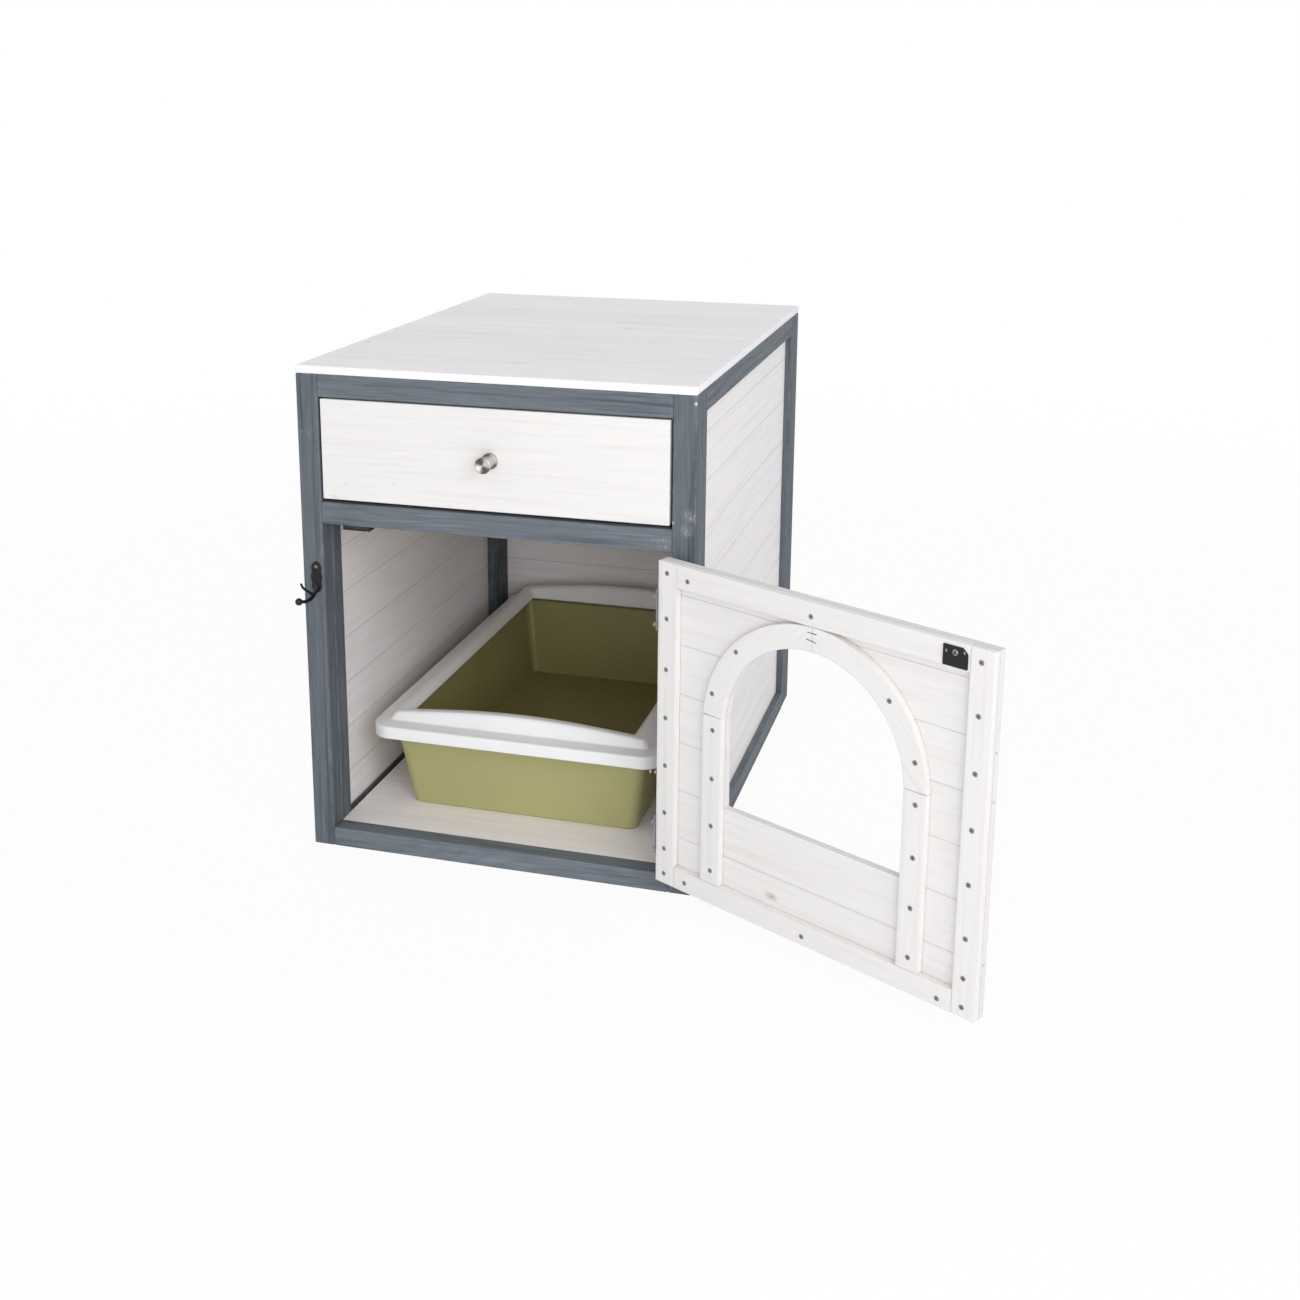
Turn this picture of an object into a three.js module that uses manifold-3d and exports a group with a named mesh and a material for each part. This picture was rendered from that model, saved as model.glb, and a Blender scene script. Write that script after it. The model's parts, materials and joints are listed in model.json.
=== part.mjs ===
// Cat litter box cabinet: a timber cabinet with a scoop drawer above a litter compartment.
//
// Millimetres, +Z up, front towards -Y. The origin is the middle of the footprint, on the ground.
// The cabinet is framed in battens with tongued boards between them. A hinged door with an arched
// cat opening stands open, a drawer runs above it, and a two-piece litter tray stands inside.

import * as THREE from 'three';
import { mergeVertices } from 'three/addons/utils/BufferGeometryUtils.js';
import Module from 'manifold-3d';

const wasm = await Module();
wasm.setup();

// ---------------------------------------------------------------- driving dimensions

// Carcass
const CABINET_WIDTH = 500;
const CABINET_DEPTH = 680;
const FRAME_HEIGHT = 620;
const TOP_PANEL_THICKNESS = 10;
const TOP_PANEL_EASE = 1.2;

// Battens of the frames
const BATTEN_FACE = 28;
const BATTEN_DEPTH = 25;
const BATTEN_EASE = 1.5;
const BOTTOM_RAIL_HEIGHT = 25;
const MIDDLE_RAIL_HEIGHT = 28;
const MIDDLE_RAIL_DEPTH = 40;
const DRAWER_OPENING_HEIGHT = 131.5;
const CORNER_BATTEN_PROUD = 16;
const CORNER_BATTEN_LENGTH = 49;

// Wall and floor boards
const BOARD_THICKNESS = 10;
const BOARD_WIDTH = 62;
const BOARD_SETBACK = 9.5;
const BOARD_TONGUE = 6;
const JOINT_GROOVE_WIDTH = 1.8;
const JOINT_GROOVE_DEPTH = 1.6;
const LEFT_FIRST_BOARD = 73;
const RIGHT_FIRST_BOARD = 62;
const BACK_FIRST_BOARD = 73;
const FLOOR_FIRST_BOARD = 44;
const FLOOR_DROP = 0.5;
const SILL_SLOT_DROP = 13;
const LEDGER_WIDTH = 22;

// Drawer
const DRAWER_FRONT_THICKNESS = 15;
const DRAWER_FRONT_EASE = 0.8;
const DRAWER_SIDE_GAP = 3.25;
const DRAWER_TOP_GAP = 2;
const DRAWER_LOW_GAP = 4.5;
const DRAWER_LENGTH = 520;
const DRAWER_BOX_HEIGHT = 100;
const DRAWER_WALL = 12;
const DRAWER_FLOOR_THICKNESS = 5;
const DRAWER_FLOOR_RAISE = 6;
const DRAWER_FLOOR_TONGUE = 6;
const RUNNER_WIDTH = 22;
const RUNNER_HEIGHT = 22;

// Drawer knob and its screw
const KNOB_LENGTH = 28;
const KNOB_RIM_RADIUS = 9.7;
const KNOB_WAIST_RADIUS = 8.1;
const KNOB_RIM_WIDTH = 5;
const KNOB_DISH = 1.2;
const KNOB_SCREW_RADIUS = 2;
const KNOB_SCREW_REACH = 11;
const KNOB_SCREW_HEAD_RADIUS = 4;
const KNOB_SCREW_HEAD_THICKNESS = 2.2;

// Door
const DOOR_OPEN_DEGREES = 152.4;
const DOOR_SIDE_GAP = 2.5;
const DOOR_TOP_GAP = 2.2;
const DOOR_LOW_GAP = 3;
const DOOR_BOARD_THICKNESS = 8.65;
const DOOR_BATTEN_THICKNESS = 8.65;
const DOOR_STILE_WIDTH = 28;
const DOOR_TOP_RAIL_HEIGHT = 28;
const DOOR_BOTTOM_RAIL_HEIGHT = 26;
const DOOR_BATTEN_EASE = 0.8;
const DOOR_FIRST_BOARD = 62.5;
const DOOR_BOARD_PITCH = 60.4;
const ARCH_INNER_RADIUS = 122;
const ARCH_RING_WIDTH = 28;

// Strike plate of the magnetic catch
const STRIKE_WIDTH = 28.6;
const STRIKE_HEIGHT = 22;
const STRIKE_THICKNESS = 1;
const STRIKE_FREE_EDGE_INSET = 30;
const STRIKE_TOP_INSET = 4.5;
const STRIKE_CORNER_CUT = 6;
const STRIKE_SCREW_HEAD_RADIUS = 3.2;
const STRIKE_SCREW_HEAD_THICKNESS = 1.2;
const STRIKE_SCREW_RADIUS = 1.6;
const STRIKE_SCREW_REACH = 6;
const STRIKE_SCREW_RAISE = 4.5;

// Magnetic catch under the middle rail
const CATCH_WIDTH = 36;
const CATCH_HEIGHT = 12;
const CATCH_DEPTH = 15;
const CATCH_POST_INSET = 18;
const CATCH_WALL = 2.2;
const CATCH_HEAD_GAP = 0.8;

// Butt hinges
const HINGE_HEIGHT = 50;
const HINGE_LEAF_WIDTH = 20;
const HINGE_LEAF_THICKNESS = 0.8;
const HINGE_KNUCKLE_RADIUS = 3;
const HINGE_PIN_RADIUS = 1.5;
const HINGE_PIN_HEAD = 1.2;
const HINGE_PIN_PROUD = 3.5;
const LOWER_HINGE_INSET = 60;
const UPPER_HINGE_INSET = 60;

// Scoop hook on the left post
const HOOK_PLATE_WIDTH = 13;
const HOOK_PLATE_HEIGHT = 40;
const HOOK_PLATE_THICKNESS = 2;
const HOOK_CENTRE_INSET = 18;
const HOOK_CENTRE_HEIGHT = 363;
const HOOK_PRONG_RADIUS = 2.3;
const HOOK_TINE_RADIUS = 1.3;
const HOOK_BALL_RADIUS = 4.6;
const HOOK_REACH = 51;
const HOOK_TINE_REACH = 47;
const HOOK_SCREW_HEAD_RADIUS = 3;
const HOOK_SCREW_HEAD_THICKNESS = 1.4;
const HOOK_SCREW_RADIUS = 1.5;
const HOOK_SCREW_REACH = 10;

// Litter tray: a pan and a lift-off rim
const TRAY_LEFT_ROOM = 33.5;
const TRAY_RIGHT_ROOM = 35.5;
const TRAY_FRONT_ROOM = 61;
const TRAY_REAR_ROOM = 14.5;
const RIM_CORNER_RADIUS = 27;
const RIM_WALL = 3;
const RIM_SKIRT_DROP = 13.6;
const RIM_FLANGE_WIDTH = 16;
const RIM_RIDGE_LEAN = 12;
const RIM_RIDGE_WIDTH = 12;
const RIM_RIDGE_HEIGHT = 12;
const RIM_INNER_SLOPE = 6;
const RIM_INNER_HEIGHT = 7;
const RIM_FRONT_BOW = 10;
const RIM_REAR_BOW = 15;
const RIM_REAR_RISE = 9;
const PAN_HEIGHT = 117.5;
const PAN_WALL = 2.5;
const PAN_TOP_INSET = 24;
const PAN_SLOPE = 17;
const PAN_FOOT_RADIUS = 4;
const PAN_CORNER_RADIUS = 17;

// Clearances
const FIT = 0.3;
const SCREW_FIT = 0.3;

// Fineness of round shapes
const EASE_STEPS = 1;
const ARC_STEPS = 8;
const TURNED_STEPS = 32;
const SMALL_TURNED_STEPS = 20;
const PRONG_SIDES_STEPS = 3;
const PRONG_STEPS = 14;
const TRAY_CORNER_STEPS = 5;
const TRAY_END_STEPS = 6;
const WELD_DISTANCE = 1e-4;

// ---------------------------------------------------------------- finishes

function finish(color, roughness, metalness = 0) {
  return new THREE.MeshStandardMaterial({ color, roughness, metalness });
}

const FINISHES = {
  blueStain: () => finish(0x5f6b77, 0.72),
  whitewash: () => finish(0xe9e6e7, 0.7),
  bareTimber: () => finish(0xd9cfc4, 0.75),
  olivePlastic: () => finish(0x99965c, 0.45),
  whitePlastic: () => finish(0xf0f1f2, 0.4),
  brushedSteel: () => finish(0xc4c2be, 0.32, 1),
  zincSteel: () => finish(0xa9abad, 0.42, 1),
  blackIron: () => finish(0x1c1c20, 0.38, 0.7),
  blackPlastic: () => finish(0x202125, 0.5),
  magnetSteel: () => finish(0x77797c, 0.45, 1),
};

// ---------------------------------------------------------------- shared levels and planes

const halfWidth = CABINET_WIDTH / 2;
const halfDepth = CABINET_DEPTH / 2;
const openingHalf = halfWidth - BATTEN_FACE;
const frontFace = -halfDepth;
const frontFrameBack = frontFace + BATTEN_DEPTH;
const rearFrameFront = halfDepth - BATTEN_DEPTH;
const sideRailFront = frontFrameBack + BATTEN_FACE;
const sideRailRear = rearFrameFront - BATTEN_FACE;

const topRailLow = FRAME_HEIGHT - BATTEN_FACE;
const middleRailTop = topRailLow - DRAWER_OPENING_HEIGHT;
const middleRailLow = middleRailTop - MIDDLE_RAIL_HEIGHT;
const middleRailBack = frontFace + MIDDLE_RAIL_DEPTH;

const floorTop = BOTTOM_RAIL_HEIGHT - FLOOR_DROP;
const floorLow = floorTop - BOARD_THICKNESS;
const wallOuter = halfWidth - BOARD_SETBACK;
const wallInner = wallOuter - BOARD_THICKNESS;
const backOuter = halfDepth - BOARD_SETBACK;
const backInner = backOuter - BOARD_THICKNESS;

const trayLeft = TRAY_LEFT_ROOM - wallInner;
const trayRight = wallInner - TRAY_RIGHT_ROOM;
const trayFront = frontFace + TRAY_FRONT_ROOM;
const trayRear = backInner - TRAY_REAR_ROOM;
const rimWidth = trayRight - trayLeft;
const rimLength = trayRear - trayFront;

const SIDES = { left: -1, right: 1 };

// ---------------------------------------------------------------- solids from three.js geometry

const AXES = {
  x: new THREE.Vector3(1, 0, 0),
  y: new THREE.Vector3(0, 1, 0),
  z: new THREE.Vector3(0, 0, 1),
};

/** Turns a geometry so that its own x and y point along the two named axes. */
function turnedTo(geometry, xTo, yTo) {
  const third = new THREE.Vector3().crossVectors(AXES[xTo], AXES[yTo]);
  return geometry.applyMatrix4(new THREE.Matrix4().makeBasis(AXES[xTo], AXES[yTo], third));
}

/** Merges shared corners and drops triangles that have no area, such as those at a turned pole. */
function welded(geometry) {
  const bare = geometry.clone();
  bare.deleteAttribute('normal');
  bare.deleteAttribute('uv');
  const merged = mergeVertices(bare, WELD_DISTANCE);
  const corners = Array.from(merged.index.array);
  const kept = [];
  for (let i = 0; i < corners.length; i += 3) {
    const [a, b, c] = corners.slice(i, i + 3);
    if (a !== b && b !== c && c !== a) {
      kept.push(a, b, c);
    }
  }
  merged.setIndex(kept);
  return merged;
}

function toSolid(geometry) {
  const merged = welded(geometry);
  const vertProperties = new Float32Array(merged.attributes.position.array);
  const triVerts = new Uint32Array(merged.index.array);
  return new wasm.Manifold(new wasm.Mesh({ numProp: 3, vertProperties, triVerts }));
}

function toGeometry(solid) {
  const mesh = solid.getMesh();
  const geometry = new THREE.BufferGeometry();
  geometry.setAttribute('position', new THREE.BufferAttribute(mesh.vertProperties, 3));
  geometry.setIndex(new THREE.BufferAttribute(mesh.triVerts, 1));
  geometry.computeVertexNormals();
  return geometry;
}

function withCuts(geometry, cutters) {
  let solid = toSolid(geometry);
  for (const cutter of cutters) {
    solid = solid.subtract(toSolid(cutter));
  }
  return toGeometry(solid);
}

function joined(geometries) {
  let solid = toSolid(geometries[0]);
  for (const geometry of geometries.slice(1)) {
    solid = solid.add(toSolid(geometry));
  }
  return toGeometry(solid);
}

// ---------------------------------------------------------------- spaces: boxes given by their limits

/** Limits of a span on one side of the middle plane, lowest first. */
function sideSpan(side, near, far) {
  return side > 0 ? [near, far] : [-far, -near];
}

function sizeOf(space) {
  return {
    x: space.x[1] - space.x[0],
    y: space.y[1] - space.y[0],
    z: space.z[1] - space.z[0],
  };
}

function centreOf(space) {
  const middle = ([low, high]) => (low + high) / 2;
  return new THREE.Vector3(middle(space.x), middle(space.y), middle(space.z));
}

function grown(space, by) {
  const wider = ([low, high]) => [low - by, high + by];
  return { x: wider(space.x), y: wider(space.y), z: wider(space.z) };
}

/** A plain block filling a space, in the same coordinates as the space. */
function block(space) {
  const size = sizeOf(space);
  const centre = centreOf(space);
  return new THREE.BoxGeometry(size.x, size.y, size.z).translate(centre.x, centre.y, centre.z);
}

// ---------------------------------------------------------------- sections and basic bodies

function roundedRectangle(width, height, radius) {
  const x = width / 2 - radius;
  const y = height / 2 - radius;
  const quarter = Math.PI / 2;
  const shape = new THREE.Shape();
  shape.absarc(x, y, radius, 0, quarter);
  shape.absarc(-x, y, radius, quarter, 2 * quarter);
  shape.absarc(-x, -y, radius, 2 * quarter, 3 * quarter);
  shape.absarc(x, -y, radius, 3 * quarter, 4 * quarter);
  shape.closePath();
  return shape;
}

function polygon(points) {
  return new THREE.Shape(points.map(([x, y]) => new THREE.Vector2(x, y)));
}

/** Extrudes a section evenly to both sides of its own plane. */
function extruded(section, length, curveSegments = ARC_STEPS) {
  const options = { depth: length, bevelEnabled: false, curveSegments };
  return new THREE.ExtrudeGeometry(section, options).translate(0, 0, -length / 2);
}

/** A straight batten whose four long edges are eased. */
function easedBar(size, along, ease) {
  const [across, up] = { x: ['y', 'z'], y: ['z', 'x'], z: ['x', 'y'] }[along];
  const radius = Math.min(ease, size[across] / 3, size[up] / 3);
  const section = roundedRectangle(size[across], size[up], radius);
  return turnedTo(extruded(section, size[along], EASE_STEPS), across, up);
}

/** A panel with every edge eased, its thickness along the named axis. */
function easedPanel(size, through, ease) {
  const [across, up] = { x: ['y', 'z'], y: ['z', 'x'], z: ['x', 'y'] }[through];
  const section = new THREE.Shape();
  const halfAcross = size[across] / 2 - ease;
  const halfUp = size[up] / 2 - ease;
  section.moveTo(-halfAcross, -halfUp);
  section.lineTo(halfAcross, -halfUp);
  section.lineTo(halfAcross, halfUp);
  section.lineTo(-halfAcross, halfUp);
  section.closePath();
  const depth = size[through] - 2 * ease;
  const options = { depth, bevelEnabled: true, bevelSize: ease, bevelThickness: ease, bevelSegments: 2 };
  const geometry = new THREE.ExtrudeGeometry(section, options).translate(0, 0, -depth / 2);
  return turnedTo(geometry, across, up);
}

/** Section of a run of boards: thickness along x, boards stacked along y, a V groove at each joint. */
function boardSection(thickness, height, firstBoard, pitch) {
  const half = thickness / 2;
  const low = -height / 2;
  const joints = [];
  for (let joint = firstBoard; joint < height - JOINT_GROOVE_WIDTH; joint += pitch) {
    if (joint > JOINT_GROOVE_WIDTH) {
      joints.push(low + joint);
    }
  }
  const face = (x, inward, list) => list.flatMap((joint) => {
    const lip = Math.sign(-x) * JOINT_GROOVE_WIDTH / 2;
    return [[x, joint + lip], [inward, joint], [x, joint - lip]];
  });
  const depth = Math.min(JOINT_GROOVE_DEPTH, thickness / 3);
  return polygon([
    [-half, low],
    [half, low],
    ...face(half, half - depth, joints),
    [half, -low],
    [-half, -low],
    ...face(-half, depth - half, joints.slice().reverse()),
  ]);
}

/** A closed turned body around z, from a profile of [radius, height] pairs that ends on the axis. */
function turned(profile, steps = TURNED_STEPS) {
  const points = profile.map(([radius, height]) => new THREE.Vector2(radius, height));
  return turnedTo(new THREE.LatheGeometry(points, steps), 'y', 'z');
}

function cylinder(radius, low, high, steps = SMALL_TURNED_STEPS) {
  return turned([[0, low], [radius, low], [radius, high], [0, high]], steps);
}

/** A pan-head screw along z: its shank reaches below zero and its head stands above zero. */
function panScrew(shankRadius, reach, head) {
  const brow = head.thickness * 0.45;
  return turned([
    [0, -reach],
    [shankRadius, shankRadius - reach],
    [shankRadius, 0],
    [head.radius, 0],
    [head.radius, head.thickness - brow],
    [head.radius * 0.72, head.thickness],
    [0, head.thickness],
  ], SMALL_TURNED_STEPS);
}

/** A round cutter along y, for a hole through or into a front face. */
function holeThroughFront(radius, [low, high]) {
  return turnedTo(cylinder(radius, low, high), 'z', 'x');
}

// ---------------------------------------------------------------- named meshes

function solidMesh(name, finishName, geometry, position = new THREE.Vector3()) {
  const mesh = new THREE.Mesh(geometry, FINISHES[finishName]());
  mesh.name = name;
  mesh.position.copy(position);
  return mesh;
}

/** A mesh whose geometry, made in the space's coordinates, is brought to its own centre. */
function meshInSpace(name, finishName, geometry, space) {
  const centre = centreOf(space);
  geometry.translate(-centre.x, -centre.y, -centre.z);
  return solidMesh(name, finishName, geometry, centre);
}

function batten(name, finishName, space, along, cutters = [], ease = BATTEN_EASE) {
  const centre = centreOf(space);
  const bar = easedBar(sizeOf(space), along, ease).translate(centre.x, centre.y, centre.z);
  const geometry = cutters.length ? withCuts(bar, cutters) : bar;
  return meshInSpace(name, finishName, geometry, space);
}

// ---------------------------------------------------------------- carcass

/** Space of one side wall's boards, with the tongues that stand in the frame. */
function sideWallSpace(side) {
  return {
    x: sideSpan(side, wallInner, wallOuter),
    y: [sideRailFront - BOARD_TONGUE, sideRailRear + BOARD_TONGUE],
    z: [BOTTOM_RAIL_HEIGHT - BOARD_TONGUE, topRailLow + BOARD_TONGUE],
  };
}

function backWallSpace() {
  return {
    x: [-openingHalf - BOARD_TONGUE, openingHalf + BOARD_TONGUE],
    y: [backInner, backOuter],
    z: [BOTTOM_RAIL_HEIGHT - BOARD_TONGUE, topRailLow + BOARD_TONGUE],
  };
}

function addFrontFrame(cabinet) {
  const y = [frontFace, frontFrameBack];
  const between = [-openingHalf, openingHalf];
  for (const [word, side] of Object.entries(SIDES)) {
    const post = { x: sideSpan(side, openingHalf, halfWidth), y, z: [0, FRAME_HEIGHT] };
    const cutters = word === 'left' ? [hookScrewHole()] : [];
    cabinet.add(batten(`front_${word}_post`, 'blueStain', post, 'z', cutters));
  }
  cabinet.add(batten('front_top_rail', 'blueStain', { x: between, y, z: [topRailLow, FRAME_HEIGHT] }, 'x'));
  const middle = { x: between, y: [frontFace, middleRailBack], z: [middleRailLow, middleRailTop] };
  cabinet.add(batten('front_middle_rail', 'blueStain', middle, 'x'));
  cabinet.add(batten('front_bottom_rail', 'blueStain', { x: between, y, z: [0, BOTTOM_RAIL_HEIGHT] }, 'x'));
}

function addSideFrame(cabinet, word, side) {
  const slot = block(grown(sideWallSpace(side), FIT));
  const x = sideSpan(side, openingHalf, halfWidth);
  const stileHeight = [0, FRAME_HEIGHT];
  const frontStile = { x, y: [frontFrameBack, sideRailFront], z: stileHeight };
  const rearStile = { x, y: [sideRailRear, rearFrameFront], z: stileHeight };
  const between = [sideRailFront, sideRailRear];
  const topRail = { x, y: between, z: [topRailLow, FRAME_HEIGHT] };
  const bottomRail = { x, y: between, z: [0, BOTTOM_RAIL_HEIGHT] };
  // The inner lip of the bottom rail is cut down, which leaves a dust slot along the floor.
  const lipCut = block({
    x: sideSpan(side, openingHalf - FIT, wallInner),
    y: grown(bottomRail, FIT).y,
    z: [BOTTOM_RAIL_HEIGHT - SILL_SLOT_DROP, BOTTOM_RAIL_HEIGHT + FIT],
  });
  cabinet.add(batten(`${word}_front_stile`, 'blueStain', frontStile, 'z', [slot]));
  cabinet.add(batten(`${word}_rear_stile`, 'blueStain', rearStile, 'z', [slot]));
  cabinet.add(batten(`${word}_top_rail`, 'blueStain', topRail, 'y', [slot]));
  cabinet.add(batten(`${word}_bottom_rail`, 'blueStain', bottomRail, 'y', [slot, lipCut]));
}

function addSideWall(cabinet, word, side, firstBoard) {
  const space = sideWallSpace(side);
  const size = sizeOf(space);
  const section = boardSection(size.x, size.z, firstBoard - space.z[0], BOARD_WIDTH);
  const geometry = turnedTo(extruded(section, size.y), 'x', 'z');
  cabinet.add(solidMesh(`${word}_wall_boards`, 'whitewash', geometry, centreOf(space)));
}

function addRearFrame(cabinet) {
  const slot = block(grown(backWallSpace(), FIT));
  const y = [rearFrameFront, halfDepth];
  const between = [-openingHalf, openingHalf];
  for (const [word, side] of Object.entries(SIDES)) {
    const post = { x: sideSpan(side, openingHalf, halfWidth), y, z: [0, FRAME_HEIGHT] };
    cabinet.add(batten(`rear_${word}_post`, 'blueStain', post, 'z', [slot]));
  }
  const topRail = { x: between, y, z: [topRailLow, FRAME_HEIGHT] };
  const bottomRail = { x: between, y, z: [0, BOTTOM_RAIL_HEIGHT] };
  cabinet.add(batten('rear_top_rail', 'blueStain', topRail, 'x', [slot]));
  cabinet.add(batten('rear_bottom_rail', 'blueStain', bottomRail, 'x', [slot]));
}

function addBackWall(cabinet) {
  const space = backWallSpace();
  const size = sizeOf(space);
  const section = boardSection(size.y, size.z, BACK_FIRST_BOARD - space.z[0], BOARD_WIDTH);
  const geometry = turnedTo(extruded(section, size.x), 'y', 'z');
  cabinet.add(solidMesh('back_wall_boards', 'whitewash', geometry, centreOf(space)));
}

/** An L-shaped batten that ties a side wall to the back wall inside the rear corner. */
function addCornerBatten(cabinet, word, side) {
  const front = rearFrameFront - CORNER_BATTEN_LENGTH;
  const proud = wallInner - CORNER_BATTEN_PROUD;
  const z = [floorTop, topRailLow];
  const space = { x: sideSpan(side, proud, wallInner), y: [front, rearFrameFront], z };
  const stileNotch = block({
    x: sideSpan(side, openingHalf, wallInner + FIT),
    y: [sideRailRear, rearFrameFront + FIT],
    z: [z[0] - FIT, z[1] + FIT],
  });
  cabinet.add(batten(`${word}_corner_batten`, 'blueStain', space, 'z', [stileNotch]));
}

function addFloor(cabinet) {
  const space = {
    x: [-openingHalf, openingHalf],
    y: [frontFrameBack, rearFrameFront],
    z: [floorLow, floorTop],
  };
  const size = sizeOf(space);
  const section = boardSection(size.z, size.y, FLOOR_FIRST_BOARD, BOARD_WIDTH);
  const geometry = turnedTo(extruded(section, size.x), 'z', 'y');
  cabinet.add(solidMesh('floor_boards', 'whitewash', geometry, centreOf(space)));

  const z = [0, floorLow];
  for (const [word, side] of Object.entries(SIDES)) {
    const ledger = { x: sideSpan(side, openingHalf - LEDGER_WIDTH, openingHalf), y: space.y, z };
    cabinet.add(batten(`floor_${word}_ledger`, 'bareTimber', ledger, 'y'));
  }
  const cleat = { x: [-LEDGER_WIDTH / 2, LEDGER_WIDTH / 2], y: space.y, z };
  cabinet.add(batten('floor_centre_cleat', 'bareTimber', cleat, 'y'));
}

function addTopPanel(cabinet) {
  const space = {
    x: [-halfWidth, halfWidth],
    y: [-halfDepth, halfDepth],
    z: [FRAME_HEIGHT, FRAME_HEIGHT + TOP_PANEL_THICKNESS],
  };
  const ease = Math.min(TOP_PANEL_EASE, TOP_PANEL_THICKNESS / 3);
  cabinet.add(solidMesh('top_panel', 'whitewash', easedPanel(sizeOf(space), 'z', ease), centreOf(space)));
}

// ---------------------------------------------------------------- drawer

const drawerHalf = openingHalf - DRAWER_SIDE_GAP;
const drawerInnerHalf = drawerHalf - DRAWER_WALL;
const drawerLow = middleRailTop + DRAWER_LOW_GAP;
const drawerTop = topRailLow - DRAWER_TOP_GAP;
const drawerBoxTop = drawerLow + DRAWER_BOX_HEIGHT;
const drawerFrontBack = frontFace + DRAWER_FRONT_THICKNESS;
const drawerRear = frontFace + DRAWER_LENGTH;
const drawerFloorLow = drawerLow + DRAWER_FLOOR_RAISE;
const drawerFloorTop = drawerFloorLow + DRAWER_FLOOR_THICKNESS;
const knobHeight = (drawerLow + drawerTop) / 2;

function drawerFloorSpace() {
  const half = drawerInnerHalf + DRAWER_FLOOR_TONGUE;
  return {
    x: [-half, half],
    y: [drawerFrontBack - DRAWER_FLOOR_TONGUE, drawerRear],
    z: [drawerFloorLow, drawerFloorTop],
  };
}

function addDrawer(cabinet) {
  const floorSpace = drawerFloorSpace();
  const groove = block(grown(floorSpace, FIT));

  const front = {
    x: [-drawerHalf, drawerHalf],
    y: [frontFace, drawerFrontBack],
    z: [drawerLow, drawerTop],
  };
  const middle = centreOf(front);
  const throughFront = [-DRAWER_FRONT_THICKNESS, DRAWER_FRONT_THICKNESS];
  const screwHole = holeThroughFront(KNOB_SCREW_RADIUS + SCREW_FIT, throughFront)
    .translate(middle.x, middle.y, knobHeight);
  const panel = easedPanel(sizeOf(front), 'y', DRAWER_FRONT_EASE).translate(middle.x, middle.y, middle.z);
  cabinet.add(meshInSpace('drawer_front', 'whitewash', withCuts(panel, [groove, screwHole]), front));

  const boxHeight = [drawerLow, drawerBoxTop];
  for (const [word, side] of Object.entries(SIDES)) {
    const x = sideSpan(side, drawerInnerHalf, drawerHalf);
    const wall = { x, y: [drawerFrontBack, drawerRear], z: boxHeight };
    cabinet.add(batten(`drawer_${word}_side`, 'bareTimber', wall, 'y', [groove], DRAWER_FRONT_EASE));
  }
  const back = {
    x: [-drawerInnerHalf, drawerInnerHalf],
    y: [drawerRear - DRAWER_WALL, drawerRear],
    z: [drawerFloorTop, drawerBoxTop],
  };
  cabinet.add(batten('drawer_back', 'bareTimber', back, 'x', [], DRAWER_FRONT_EASE));
  cabinet.add(meshInSpace('drawer_bottom', 'bareTimber', block(floorSpace), floorSpace));
}

function addDrawerRunners(cabinet) {
  const top = drawerLow - FIT;
  for (const [word, side] of Object.entries(SIDES)) {
    const runner = {
      x: sideSpan(side, openingHalf - RUNNER_WIDTH, openingHalf),
      y: [middleRailBack, rearFrameFront - CORNER_BATTEN_LENGTH],
      z: [top - RUNNER_HEIGHT, top],
    };
    cabinet.add(batten(`${word}_drawer_runner`, 'bareTimber', runner, 'y'));
  }
}

/** A spool-shaped knob: two rims, a drawn-in waist and a shallow dished front. */
function knobProfile() {
  const waistLow = KNOB_RIM_WIDTH;
  const waistHigh = KNOB_LENGTH - KNOB_RIM_WIDTH;
  const soft = 0.7;
  const bore = KNOB_SCREW_RADIUS + SCREW_FIT;
  const boreDepth = KNOB_SCREW_REACH + SCREW_FIT;
  const profile = [
    [0, boreDepth],
    [bore, boreDepth],
    [bore, 0],
    [KNOB_RIM_RADIUS - soft, 0],
    [KNOB_RIM_RADIUS, soft],
    [KNOB_RIM_RADIUS, waistLow - soft],
    [KNOB_WAIST_RADIUS, waistLow + soft],
    [KNOB_WAIST_RADIUS, waistHigh - soft],
    [KNOB_RIM_RADIUS, waistHigh + soft],
    [KNOB_RIM_RADIUS, KNOB_LENGTH - soft],
    [KNOB_RIM_RADIUS - soft, KNOB_LENGTH],
    [KNOB_RIM_RADIUS - 2 * soft, KNOB_LENGTH],
    [0, KNOB_LENGTH - KNOB_DISH],
  ];
  return profile;
}

function addKnob(cabinet) {
  // The turned body's own z points out of the drawer front, along -Y.
  const outward = new THREE.Matrix4().makeRotationX(Math.PI / 2);
  const knob = turned(knobProfile()).applyMatrix4(outward);
  cabinet.add(solidMesh('drawer_knob', 'brushedSteel', knob, new THREE.Vector3(0, frontFace, knobHeight)));

  const inward = new THREE.Matrix4().makeRotationX(-Math.PI / 2);
  const reach = DRAWER_FRONT_THICKNESS + KNOB_SCREW_REACH;
  const headSize = { radius: KNOB_SCREW_HEAD_RADIUS, thickness: KNOB_SCREW_HEAD_THICKNESS };
  const screw = panScrew(KNOB_SCREW_RADIUS, reach, headSize).applyMatrix4(inward);
  const head = new THREE.Vector3(0, drawerFrontBack, knobHeight);
  cabinet.add(solidMesh('knob_screw', 'zincSteel', screw, head));
}

// ---------------------------------------------------------------- door, drawn closed around its hinge pin

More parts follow.
